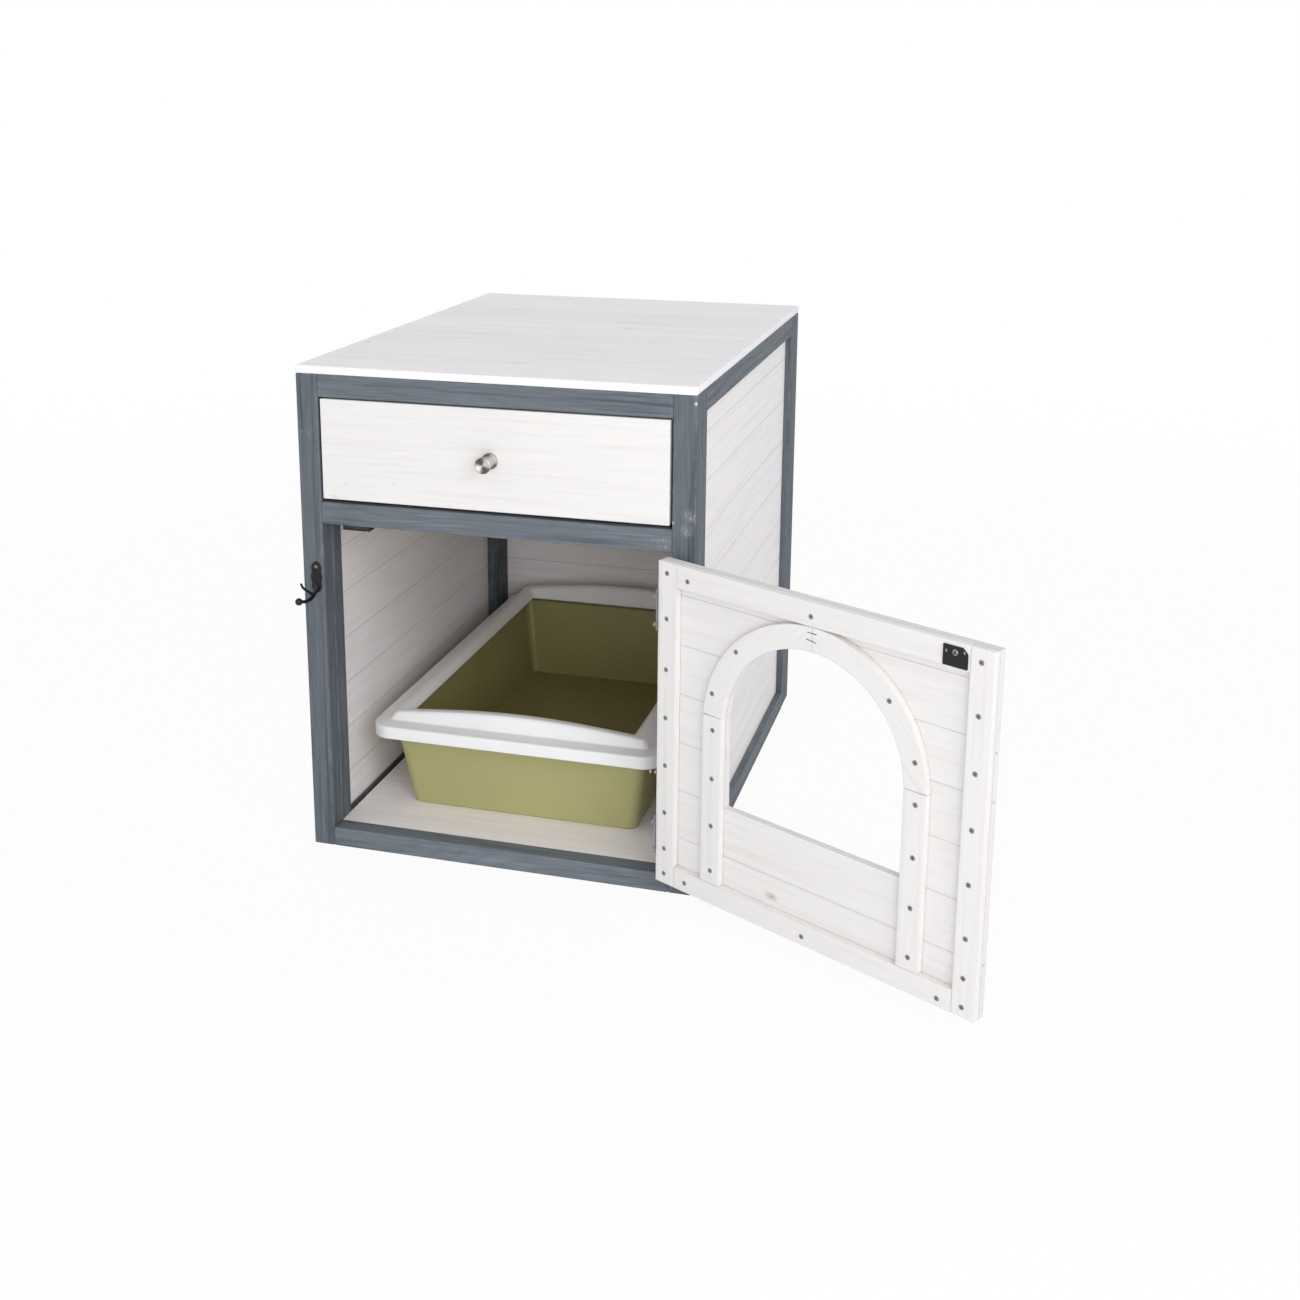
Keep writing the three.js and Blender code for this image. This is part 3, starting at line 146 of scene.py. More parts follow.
class CabinetSizes(PropertyGroup):
    """Small sizes that the surfaces add to the frame."""

    batten_ease: length_property("Batten easing", "Radius on the edges of the battens", 1.6)
    door_ease: length_property("Door easing", "Radius on the edges of the door's battens", 0.8)
    small_ease: length_property("Small easing", "Radius on the edges of thin pieces", 0.3)
    panel_ease: length_property("Panel easing", "Radius on the edges of the top panel", 1.6)
    groove: length_property("Joint groove", "Half the width of a joint between boards", 0.45)
    wear_band: length_property("Wear band", "How far edge wear runs onto a face", 3.0)
    tongue: length_property("Tongue", "Tongue of the wall boards inside the frame", 6.0)
    screw_radius: length_property("Screw head", "Radius of a door screw's head", 3.1)
    screw_proud: length_property("Screw head height", "How far a door screw's head stands up", 0.4)
    staple_radius: length_property("Staple wire", "Radius of the staple wire", 0.42)
    knob_turns: IntProperty(name="Knob steps", description="Steps round the knob", default=72, min=24)
    hook_plate: length_property("Hook plate", "Thickness of the hook's plate", 2.0)
    hook_width: length_property("Hook width", "Width of the hook's plate", 15.2)
    prong_radius: length_property("Prong", "Radius of the heavy prong at its root", 2.5)
    tine_radius: length_property("Tine", "Radius of the thin upper tine", 1.6)
    ball_radius: length_property("Ball", "Radius of the ball on the prong", 4.6)
    rim_corner: length_property("Rim corner", "Radius of the rim's corners, seen from above", 27)
    front_bow: length_property("Front bow", "How far the rim's ridge rises in the middle of its front", 10)
    rear_bow: length_property("Rear bow", "How far the rim's ridge rises in the middle of its rear", 13)
    rear_rise: length_property("Rear rise", "How much higher the rim's ridge is at the rear", 9)


class StageSettings(PropertyGroup):
    """Camera and lamps."""

    focal_length: FloatProperty(name="Lens", description="Focal length in mm", default=45.128)
    azimuth: angle_property("Azimuth", "Camera to the right of the front", 16.304)
    elevation: angle_property("Elevation", "Camera's look downwards", 13.488)
    roll: angle_property("Roll", "Camera's roll", 0.068)
    camera_place: FloatVectorProperty(
        name="Camera", description="Camera position", subtype="TRANSLATION", default=(0.6509, -2.1031, 0.9785)
    )
    shift: FloatVectorProperty(name="Shift", description="Lens shift", size=2, default=(0.0385, -0.1462))
    key_power: power_property("Key lamp", "Power of the key lamp in watts", 28.0)
    front_power: power_property("Front lamp", "Power of the low front lamp in watts", 16.0)
    fill_power: power_property("Fill lamp", "Power of the fill lamp in watts", 5.0)
    ambient: FloatProperty(name="Ambient", description="Strength of the room's own light", default=0.68)


# ---------------------------------------------------------------- the frame's own sizes


def node_points(name):
    """All corner points of a frame node."""
    mesh = frame["nodes"][name].data
    flat = np.empty(len(mesh.vertices) * 3, np.float32)
    mesh.vertices.foreach_get("co", flat)
    return flat.reshape(-1, 3).astype(float)


DOOR_HINGE = next(joint for joint in frame["joints"] if joint["name"] == "door_hinge")
DOOR_PIN = np.array(DOOR_HINGE["pos_m"])
DOOR_OPEN = math.radians(-DOOR_HINGE["range_deg"][0])


def turned_about_pin(points, angle):
    """Points turned round the upright line through the hinge pins."""
    cos, sin = math.cos(angle), math.sin(angle)
    spin = np.array([[cos, -sin, 0], [sin, cos, 0], [0, 0, 1]])
    return (points - DOOR_PIN) @ spin.T + DOOR_PIN


def swung_open(points):
    """Points of the closed door, moved to where the open door holds them."""
    return turned_about_pin(points, DOOR_OPEN)


def closed_points(name):
    """All corner points of a door node while the door is closed."""
    return turned_about_pin(node_points(name), -DOOR_OPEN)


def node_box(name):
    """Lowest and highest corner of a cabinet node."""
    points = node_points(name)
    return points.min(0), points.max(0)


def closed_box(name):
    """Lowest and highest corner of a door node while the door is closed."""
    points = closed_points(name)
    return points.min(0), points.max(0)


def joint_levels(points, depth_axis, stack_axis):
    """Where boards meet: the bottoms of the grooves lie between the two faces of the boards."""
    depth = points[:, depth_axis]
    inside = (depth > depth.min() + FACE_CLEAR) & (depth < depth.max() - FACE_CLEAR)
    return np.unique(np.round(points[inside, stack_axis], 4))


# ---------------------------------------------------------------- shells worked out with numpy

Shell = namedtuple("Shell", "points quads tris caps grain wear")
NO_TRIS = np.empty((0, 3), int)
# Share of the easing by which a block's end is drawn in, so that its corners keep a small face
BLOCK_DRAW = 0.98


def grain_start(name):
    """A place of its own in the endless timber for each piece, so that no two have the same grain."""
    return np.random.default_rng(zlib.crc32(name.encode())).uniform(0, 6, 3)


def band_quads(rings, count, closed=False):
    """Quads between neighbouring rings of `count` points, in ring order."""
    ring = np.arange(rings if closed else rings - 1)[:, None]
    step = np.arange(count)[None, :]
    here, there = ring * count, (ring + 1) % rings * count
    nxt = (step + 1) % count
    return np.stack([here + step, here + nxt, there + nxt, there + step], -1).reshape(-1, 4)


def end_caps(rings, count):
    """The two faces that close a stack of rings of `count` points."""
    last = (rings - 1) * count
    return [np.arange(count)[::-1], last + np.arange(count)]


def pole_fans(rings, count):
    """Triangles between a stack's end rings and its two poles, which follow the rings in the points."""
    step = np.arange(count)
    nxt = (step + 1) % count
    last = (rings - 1) * count
    low_pole = np.full(count, rings * count)
    low_fan = np.stack([low_pole, nxt, step], 1)
    high_fan = np.stack([low_pole + 1, last + step, last + nxt], 1)
    return np.concatenate([low_fan, high_fan])


def plain_shell(points, quads, tris):
    """A shell of metal, without grain of its own or wear."""
    return Shell(points, quads, tris, [], points, np.zeros(len(points)))


def easing(ease):
    """Quarter-round edge: distance from the end, how far the section draws in, and the wear there."""
    turn = np.linspace(0, math.pi / 2, ARC_STEPS + 1)
    return ease * (1 - np.cos(turn)), ease * (1 - np.sin(turn)), 0.5 + 0.5 * np.sin(2 * turn)


def eased_block(name, low, high, along, ease, band=3 * MM):
    """A block whose section, a rectangle with round corners, is carried along one axis.

    Point = corner centre + (ease - draw-in) * direction, where the draw-in follows a quarter circle at
    both ends. Wear is 1 on the round edges and falls to 0 a band's width away from them.
    """
    low, high = np.asarray(low, float), np.asarray(high, float)
    b, c = (along + 1) % 3, (along + 2) % 3
    half = (high - low) / 2
    ease = min(ease, half.min() * 0.45)
    bands = np.minimum(band, 0.6 * (half - ease))
    arc = np.linspace(0, math.pi / 2, ARC_STEPS + 1)
    bases, directions, wears = [], [], []
    for quarter, (side_b, side_c) in enumerate([(1, 1), (-1, 1), (-1, -1), (1, -1)]):
        angles = arc + quarter * math.pi / 2
        facing = np.stack([np.cos(angles), np.sin(angles)], 1)
        running = np.stack([-np.sin(angles), np.cos(angles)], 1)
        centre = np.array([side_b * (half[b] - ease), side_c * (half[c] - ease)])
        before, after = (bands[c], bands[b]) if quarter % 2 == 0 else (bands[b], bands[c])
        bases += [centre - before * running[:1], np.tile(centre, (len(arc), 1))]
        bases += [centre + after * running[-1:]]
        directions += [facing[:1], facing, facing[-1:]]
        wears += [[0], 0.5 + 0.5 * np.sin(2 * arc), [0]]
    bases, directions, wears = (np.concatenate(part) for part in (bases, directions, wears))

    end, draw, end_wear = easing(ease)
    draw = draw * BLOCK_DRAW
    length = 2 * half[along]
    place = np.concatenate([end, [ease + bands[along], length - ease - bands[along]], length - end[::-1]])
    draw = np.concatenate([draw, [0, 0], draw[::-1]])
    ring_wear = np.concatenate([end_wear, [0, 0], end_wear[::-1]])
    section = bases[None] + (ease - draw)[:, None, None] * directions[None]
    middle = (low + high) / 2
    points = np.empty((len(place), len(bases), 3))
    points[..., along] = low[along] + place[:, None]
    points[..., b] = middle[b] + section[..., 0]
    points[..., c] = middle[c] + section[..., 1]
    wear = np.maximum(ring_wear[:, None], wears[None]).ravel()
    points = points.reshape(-1, 3)
    grain = points[:, [along, b, c]] + grain_start(name)
    rings, count = len(place), len(bases)
    return Shell(points, band_quads(rings, count), NO_TRIS, end_caps(rings, count), grain, wear)


def outward(outline):
    """For each corner of an anticlockwise outline, the shift that moves both its edges out by one."""
    step = np.roll(outline, -1, 0) - outline
    step /= np.linalg.norm(step, axis=1, keepdims=True)
    after = np.stack([step[:, 1], -step[:, 0]], 1)
    before = np.roll(after, 1, 0)
    share = 1 + np.sum(before * after, 1, keepdims=True)
    return (before + after) / np.maximum(share, 0.2)


def anticlockwise(outline):
    """The outline, turned about if the sum of its corners' cross products, twice its area, is negative."""
    nxt = np.roll(outline, -1, 0)
    area = np.sum(outline[:, 0] * nxt[:, 1] - outline[:, 1] * nxt[:, 0])
    return outline if area > 0 else outline[::-1]


def slab(name, outline, low, high, through, ease, grain_angle=None, band=2.5 * MM):
    """A flat piece of any outline: the outline is carried through its thickness and drawn in at both faces.

    The outline's two columns run along the two axes that follow `through`. Without a grain angle, the
    grain runs through the thickness.
    """
    b, c = (through + 1) % 3, (through + 2) % 3
    outline = anticlockwise(np.asarray(outline, float))
    shift = outward(outline)
    end, draw, end_wear = easing(ease)
    place = np.concatenate([[0], end, high - low - end[::-1], [high - low]])
    draw = np.concatenate([[ease + band], draw, draw[::-1], [ease + band]])
    ring_wear = np.concatenate([[0], end_wear, end_wear[::-1], [0]])
    section = outline[None] - draw[:, None, None] * shift[None]
    points = np.empty((len(place), len(outline), 3))
    points[..., through] = low + place[:, None]
    points[..., b] = section[..., 0]
    points[..., c] = section[..., 1]
    points = points.reshape(-1, 3)
    wear = np.repeat(ring_wear, len(outline))
    if grain_angle is None:
        grain = points[:, [through, b, c]] + grain_start(name)
    else:
        cos, sin = math.cos(grain_angle), math.sin(grain_angle)
        lengthwise = points[:, b] * cos + points[:, c] * sin
        across = points[:, c] * cos - points[:, b] * sin
        grain = np.stack([lengthwise, across, points[:, through]], 1) + grain_start(name)
    rings, count = len(place), len(outline)
    return Shell(points, band_quads(rings, count), NO_TRIS, end_caps(rings, count), grain, wear)


def pierced_plate(outline, holes, low, high, through):
    """A thin plate with holes: each loop's wall joins two faces that are filled round the holes."""
    b, c = (through + 1) % 3, (through + 2) % 3
    loops = [anticlockwise(np.asarray(outline, float))]
    loops += [anticlockwise(np.asarray(hole, float))[::-1] for hole in holes]
    flat = np.concatenate(loops)
    total = len(flat)
    points = np.empty((2 * total, 3))
    points[:, through] = np.repeat([low, high], total)
    points[:, b] = np.tile(flat[:, 0], 2)
    points[:, c] = np.tile(flat[:, 1], 2)
    quads, start = [], 0
    for loop in loops:
        step = start + np.arange(len(loop))
        nxt = start + (np.arange(len(loop)) + 1) % len(loop)
        quads.append(np.stack([step, nxt, nxt + total, step + total], 1))
        start += len(loop)
    filled = np.array(tessellate_polygon([[(x, y, 0) for x, y in loop.tolist()] for loop in loops]))
    corner = flat[filled]
    first, second = corner[:, 1] - corner[:, 0], corner[:, 2] - corner[:, 0]
    turned = first[:, 0] * second[:, 1] - first[:, 1] * second[:, 0] < 0
    filled[turned] = filled[turned][:, ::-1]
    tris = np.concatenate([filled[:, ::-1], filled + total])
    return plain_shell(points, np.concatenate(quads), tris)


def cross_axes(axis):
    """Two unit vectors square to a unit axis, so that first x second = axis."""
    axis = np.asarray(axis, float)
    spare = np.array([1.0, 0, 0]) if abs(axis[0]) < 0.9 else np.array([0, 1.0, 0])
    second = np.cross(axis, spare)
    second /= np.linalg.norm(second)
    return np.cross(second, axis), second


def revolved(profile, origin, axis, steps):
    """A turned body. The profile's (radius, height) pairs start and end on the axis, outer side right."""
    profile = np.asarray(profile, float)
    first, second = cross_axes(axis)
    angle = np.arange(steps) * 2 * math.pi / steps
    spoke = np.cos(angle)[:, None] * first + np.sin(angle)[:, None] * second
    axis, origin = np.asarray(axis, float), np.asarray(origin, float)
    rings = profile[1:-1]
    body = rings[:, None, :1] * spoke[None] + rings[:, None, 1:] * axis
    poles = profile[[0, -1], 1:] * axis
    points = np.concatenate([body.reshape(-1, 3), poles]) + origin
    return plain_shell(points, band_quads(len(rings), steps), pole_fans(len(rings), steps))


def half_circle(radius, steps):
    """The profile of a ball, from its lowest to its highest point."""
    turn = np.linspace(0, math.pi, steps + 1)
    profile = np.stack([np.sin(turn), -np.cos(turn)], 1) * radius
    profile[[0, -1], 0] = 0
    return profile


def rod(path, radii, square_to, sides=16):
    """A round rod along a flat path, with half-round ends.

    Ring point = path point + radius * (cos * square_to + sin * (tangent x square_to)).
    """
    path, radii = np.asarray(path, float), np.asarray(radii, float)
    tangent = np.gradient(path, axis=0)
    tangent /= np.linalg.norm(tangent, axis=1, keepdims=True)
    turn = np.linspace(0, math.pi / 2, ARC_STEPS + 2)[1:-1]
    head = path[0] - tangent[0] * radii[0] * np.cos(turn)[:, None]
    tail = path[-1] + tangent[-1] * radii[-1] * np.cos(turn[::-1])[:, None]
    centres = np.concatenate([head, path, tail])
    reach = np.concatenate([radii[0] * np.sin(turn), radii, radii[-1] * np.sin(turn[::-1])])
    ways = np.repeat(tangent, [len(turn) + 1] + [1] * (len(path) - 2) + [len(turn) + 1], axis=0)
    first = np.broadcast_to(np.asarray(square_to, float), ways.shape)
    second = np.cross(ways, first)
    angle = np.arange(sides) * 2 * math.pi / sides
    spoke = np.cos(angle)[None, :, None] * first[:, None] + np.sin(angle)[None, :, None] * second[:, None]
    body = centres[:, None] + reach[:, None, None] * spoke
    poles = np.stack([path[0] - tangent[0] * radii[0], path[-1] + tangent[-1] * radii[-1]])
    points = np.concatenate([body.reshape(-1, 3), poles])
    return plain_shell(points, band_quads(len(centres), sides), pole_fans(len(centres), sides))


# A screw head's upright wall as a share of its height, its steps round, and the half width and the
# reach of its cross as shares of its radius
HEAD_WALL, HEAD_STEPS = 0.35, 32
CROSS_ARM, CROSS_REACH = 0.14, 0.72


def screw_head(centre, axis, radius, proud, turn):
    """A domed head with a recessed cross: height = wall + (proud - wall) * (1 - r^2) less the cross's depth.

    The cross is where a point lies within an arm's half width of either of two square lines; its mark is 1,
    which the steel's material draws dark as painted shade.
    """
    share = np.array([1, 1, 0.97, 0.86, 0.72, 0.6, 0.48, 0.36, 0.24, 0.12])
    dome = HEAD_WALL + (1 - HEAD_WALL) * (1 - share[2:] ** 2)
    height = np.concatenate([[0, HEAD_WALL], dome]) * proud
    profile = np.concatenate([[[0, 0]], np.stack([share * radius, height], 1), [[0, proud]]])
    made = revolved(profile, (0, 0, 0), (0, 0, 1), HEAD_STEPS)
    points = made.points.copy()
    away = np.hypot(points[:, 0], points[:, 1]) / radius
    angle = np.arctan2(points[:, 1], points[:, 0]) + turn
    along = np.abs(np.cos(angle)) * away, np.abs(np.sin(angle)) * away
    in_cross = (np.minimum(*along) < CROSS_ARM) & (np.maximum(*along) < CROSS_REACH)
    in_cross &= points[:, 2] > 0.3 * proud
    points[:, 2] -= np.where(in_cross, np.minimum(0.7 * proud, points[:, 2] * 0.85), 0)
    first, second = cross_axes(axis)
    basis = np.stack([first, second, np.asarray(axis, float)])
    placed = points @ basis + np.asarray(centre, float)
    return made._replace(points=placed, grain=placed, wear=in_cross.astype(float))


def rounded_path(points, cut, closed=False, steps=4):
    """A path whose corners are rounded: each corner becomes a quadratic curve that starts a cut away."""
    points = np.asarray(points, float)
    before = np.roll(points, 1, 0) - points
    after = np.roll(points, -1, 0) - points
    before_length, after_length = (np.linalg.norm(side[:, :2], axis=1) for side in (before, after))
    cut = np.minimum(cut, 0.45 * np.minimum(before_length, after_length))
    start = points + before * (cut / before_length)[:, None]
    stop = points + after * (cut / after_length)[:, None]
    t = np.linspace(0, 1, steps + 1)[None, :, None]
    curve = (1 - t) ** 2 * start[:, None] + 2 * t * (1 - t) * points[:, None] + t**2 * stop[:, None]
    if closed:
        return curve.reshape(-1, points.shape[1])
    return np.concatenate([points[:1], curve[1:-1].reshape(-1, points.shape[1]), points[-1:]])


def smooth_curve(knots, count):
    """A curve through the given points by cubic Hermite spans whose slopes are central differences."""
    knots = np.asarray(knots, float)
    slope = np.gradient(knots, axis=0)
    where = np.linspace(0, len(knots) - 1, count)
    span = np.minimum(where.astype(int), len(knots) - 2)
    t = (where - span)[:, None]
    start, stop = knots[span], knots[span + 1]
    return (
        (2 * t**3 - 3 * t**2 + 1) * start
        + (t**3 - 2 * t**2 + t) * slope[span]
        + (3 * t**2 - 2 * t**3) * stop
        + (t**3 - t**2) * slope[span + 1]
    )


# ---------------------------------------------------------------- pieces


def piece(name, shells, finish, body, place=None, stands_for=(), crease=38):
    """Puts shells into one mesh object with its timber coordinates and its wear and painted shade marks, and
    lets it ride on a body.
    """
    starts = np.cumsum([0] + [len(shell.points) for shell in shells])[:-1]
    points = np.concatenate([shell.points for shell in shells])
    faces = []
    for shell, start in zip(shells, starts):
        faces += (shell.quads + start).tolist() + (shell.tris + start).tolist()
        faces += [(cap + start).tolist() for cap in shell.caps]
    mesh = bpy.data.meshes.new(name)
    mesh.from_pydata((place(points) if place else points).tolist(), [], faces)
    for field, kind, entry in (("grain", "FLOAT_VECTOR", "vector"), ("wear", "FLOAT", "value")):
        values = np.concatenate([getattr(shell, field) for shell in shells]).astype(np.float32)
        mesh.attributes.new(field, kind, "POINT").data.foreach_set(entry, values.ravel())
    mesh.shade_smooth()
    mesh.set_sharp_from_angle(angle=math.radians(crease))
    mesh.materials.append(finish)
    made = bpy.data.objects.new(name, mesh)
    bpy.context.scene.collection.objects.link(made)
    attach(made, body)
    if stands_for:
        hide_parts(*stands_for)


def dress(node, finish):
    """Gives a frame node, whose shape is right as it is, its finish."""
    mesh = frame["nodes"][node].data
    mesh.materials.clear()
    mesh.materials.append(finish)


# ---------------------------------------------------------------- materials


def add(tree, kind, links=None, out=0, **settings):
    """Adds a shader node, sets its properties, feeds its inputs and returns one of its outputs."""
    made = tree.nodes.new("ShaderNode" + kind)
    for index, (position, colour) in enumerate(settings.pop("stops", ())):
        ramp = made.color_ramp.elements
        stop = ramp[index] if index < 2 else ramp.new(1.0)
        stop.position, stop.color = position, (*colour, 1)
    for key, value in settings.items():
        setattr(made, key, value)
    for key, value in (links or {}).items():
        entry = made.inputs[key]
        if isinstance(value, bpy.types.NodeSocket):
            tree.links.new(value, entry)
        else:
            entry.default_value = (*value, 1) if entry.type == "RGBA" else value
    return made.outputs[out] if made.outputs else None


def new_material(name):
    """An empty material and its node tree."""
    material = bpy.data.materials.new(name)
    material.use_nodes = True
    material.node_tree.nodes.clear()
    return material, material.node_tree


# From one growth ring to the next, and the width of the staves that the top panel is glued up from
RING_WIDTH, STAVE_WIDTH = 5.2 * MM, 97 * MM
TIMBER_SKIN = {"IOR": 1.45, "Specular IOR Level": 0.3}
# Nearly all values of a noise lie between these
NOISE_SPREAD = {"From Min": 0.3, "From Max": 0.7}
# How dark a knot is, by distance from its heart
KNOT_FADE = [(0.0, 1.0), (0.3, 0.8), (0.5, 0.4), (0.66, 0.34), (0.8, 0.12), (1.0, 0.0)]


def knot_and_dent_marks(tree, colour, strength, knots, knot_and_dent_colour, squeeze):
    """Mixes knots into a colour, and on the door's free ends the painted shade of dents: a soft dark heart
    that fades outwards from each given place.

    The squeeze makes each knot an oval that is long where the grain runs.
    """
    place = add(tree, "TexCoord", out="Object")
    squeezed = add(tree, "VectorMath", {0: place, 1: squeeze}, operation="MULTIPLY")
    for centre, radius, depth in knots:
        heart_place = tuple(a * b for a, b in zip(centre, squeeze))
        apart = add(tree, "VectorMath", {0: squeezed, 1: heart_place}, out="Value", operation="DISTANCE")
        uneven = add(tree, "TexNoise", {"Vector": place, "Scale": 240.0, "Detail": 3.0})
        bent = add(tree, "Math", {0: uneven, 1: radius * 0.9, 2: apart}, operation="MULTIPLY_ADD")
        fade = [(position, (level,) * 3) for position, level in KNOT_FADE]
        share = add(tree, "Math", {0: bent, 1: radius * 2.2}, operation="DIVIDE")
        heart = add(tree, "ValToRGB", {"Fac": share}, stops=fade)
        weight = add(tree, "Math", {0: heart, 1: depth}, operation="MULTIPLY")
        colour = add(tree, "Mix", {0: weight, 6: colour, 7: knot_and_dent_colour}, out=2, data_type="RGBA")
        strength = add(tree, "Math", {0: weight, 1: 0.4, 2: strength}, operation="MULTIPLY_ADD")
    return colour, strength


def timber_fields(tree):
    """Patterns of sawn pine: broad streaks, fibres and growth rings, all drawn out along the grain.

    A streak is about 200 mm long and 7 mm wide, a fibre 45 mm and 1.6 mm. Real fibres are finer, but would
    not show.
    """
    grain = add(tree, "Attribute", out="Vector", attribute_name="grain")
    long_streaks = add(tree, "Mapping", {"Vector": grain, "Scale": (5.0, 140.0, 140.0)})
    streak = add(tree, "TexNoise", {"Vector": long_streaks, "Scale": 1.0, "Detail": 4.0, "Roughness": 0.6})
    long_fibres = add(tree, "Mapping", {"Vector": grain, "Scale": (22.0, 620.0, 620.0)})
    fibre = add(tree, "TexNoise", {"Vector": long_fibres, "Scale": 1.0, "Detail": 2.0, "Roughness": 0.55})
    slow = add(tree, "Mapping", {"Vector": grain, "Scale": (1.6, 11.0, 11.0)})
    sway = add(tree, "TexNoise", {"Vector": slow, "Scale": 1.0, "Detail": 2.0, "Distortion": 0.4})
    apart = add(tree, "SeparateXYZ", {0: grain}, out="Y")
    phase = add(tree, "Math", {0: sway, 1: 0.09, 2: apart}, operation="MULTIPLY_ADD")
    turn = add(tree, "Math", {0: phase, 1: 2 * math.pi / RING_WIDTH}, operation="MULTIPLY")
    wave = add(tree, "Math", {0: turn}, operation="SINE")
    late_wood = {"Value": wave, "From Min": -0.2, "From Max": 1.0}
    ring = add(tree, "MapRange", late_wood, interpolation_type="SMOOTHSTEP")
    return streak, fibre, ring


# Place, radius and strength of each scuff, and how solid it is between its scratches
SCUFFS = [
    ((0.2430, -0.340, 0.478), 0.012, 0.85, 0.12),
    ((0.2400, -0.340, 0.461), 0.011, 0.95, 0.12),
    ((0.2115, -0.340, 0.4415), 0.012, 0.75, 0.08),
    ((0.1980, -0.340, 0.4480), 0.010, 0.40, 0.0),
    ((0.2222, -0.340, 0.4690), 0.0028, 1.0, 1.0),
    ((0.2485, -0.340, 0.6105), 0.0030, 1.0, 1.0),
    ((-0.236, -0.340, 0.545), 0.020, 0.30, 0.0),
]


def stained_pine(name, colours, tone):
    """Blue-grey stain, brushed onto sawn pine and wiped; a lower tone is a heavier coat, except on the corner
    battens, where the darker tone is painted shade.

    It gives the eye long dark and pale streaks, paler arrises, and dry white scuffs where hands and the
    door rub.
    """
    material, tree = new_material(name)
    streak, fibre, ring = timber_fields(tree)
    dark, middle, pale = tuple(colours.stain_dark), tuple(colours.stain), tuple(colours.stain_pale)
    stops = [(0.3, dark), (0.5, middle), (0.6, middle), (0.78, pale)]
    colour = add(tree, "ValToRGB", {"Fac": streak}, stops=stops)
    fine_range = {"From Min": 0.3, "From Max": 0.72, "To Min": 0.86 * tone, "To Max": 1.12 * tone}
    fine = add(tree, "MapRange", {"Value": fibre, **fine_range})
    colour = add(tree, "VectorMath", {0: colour, "Scale": fine}, operation="SCALE")
    ring_weight = add(tree, "Math", {0: ring, 1: 0.18}, operation="MULTIPLY")
    colour = add(tree, "Mix", {0: ring_weight, 6: colour, 7: dark}, out=2, data_type="RGBA")

    wear = add(tree, "Attribute", out="Fac", attribute_name="wear")
    place = add(tree, "TexCoord", out="Object")
    patchy = add(tree, "TexNoise", {"Vector": place, "Scale": 55.0, "Detail": 3.0})
    rubbed = add(tree, "MapRange", {"Value": patchy, "From Min": 0.42, "From Max": 0.7, "To Max": 0.5})
    rubbed = add(tree, "Math", {0: rubbed, 1: wear}, operation="MULTIPLY")
    colour = add(tree, "Mix", {0: rubbed, 6: colour, 7: pale}, out=2, data_type="RGBA")

    scratch_lay = {"Rotation": (0.0, 0.5, 0.0), "Scale": (900.0, 300.0, 130.0)}
    scratch_map = add(tree, "Mapping", {"Vector": place, **scratch_lay})
    scratch = add(tree, "TexNoise", {"Vector": scratch_map, "Scale": 1.0, "Detail": 3.0, "Distortion": 0.6})
    thin = add(tree, "MapRange", {"Value": scratch, "From Min": 0.58, "From Max": 0.68})
    for centre, radius, depth, least in SCUFFS:
        apart = add(tree, "VectorMath", {0: place, 1: centre}, out="Value", operation="DISTANCE")
        fade = {"Value": apart, "From Min": radius, "From Max": radius * 0.2, "To Max": depth}
        near = add(tree, "MapRange", fade, interpolation_type="SMOOTHSTEP")
        marked = add(tree, "Math", {0: thin, 1: least}, operation="MAXIMUM")
        weight = add(tree, "Math", {0: near, 1: marked}, operation="MULTIPLY")
        colour = add(tree, "Mix", {0: weight, 6: colour, 7: tuple(colours.scuff)}, out=2, data_type="RGBA")

    height = add(tree, "Math", {0: fibre, 1: 0.6, 2: streak}, operation="MULTIPLY_ADD")
    bump = add(tree, "Bump", {"Strength": 0.35, "Distance": 0.5 * MM, "Height": height})
    rough = add(tree, "MapRange", {"Value": streak, "To Min": 0.78, "To Max": 0.58})
    look = {"Base Color": colour, "Roughness": rough, "Normal": bump, **TIMBER_SKIN}
    add(tree, "OutputMaterial", {"Surface": add(tree, "BsdfPrincipled", look)})
    return material


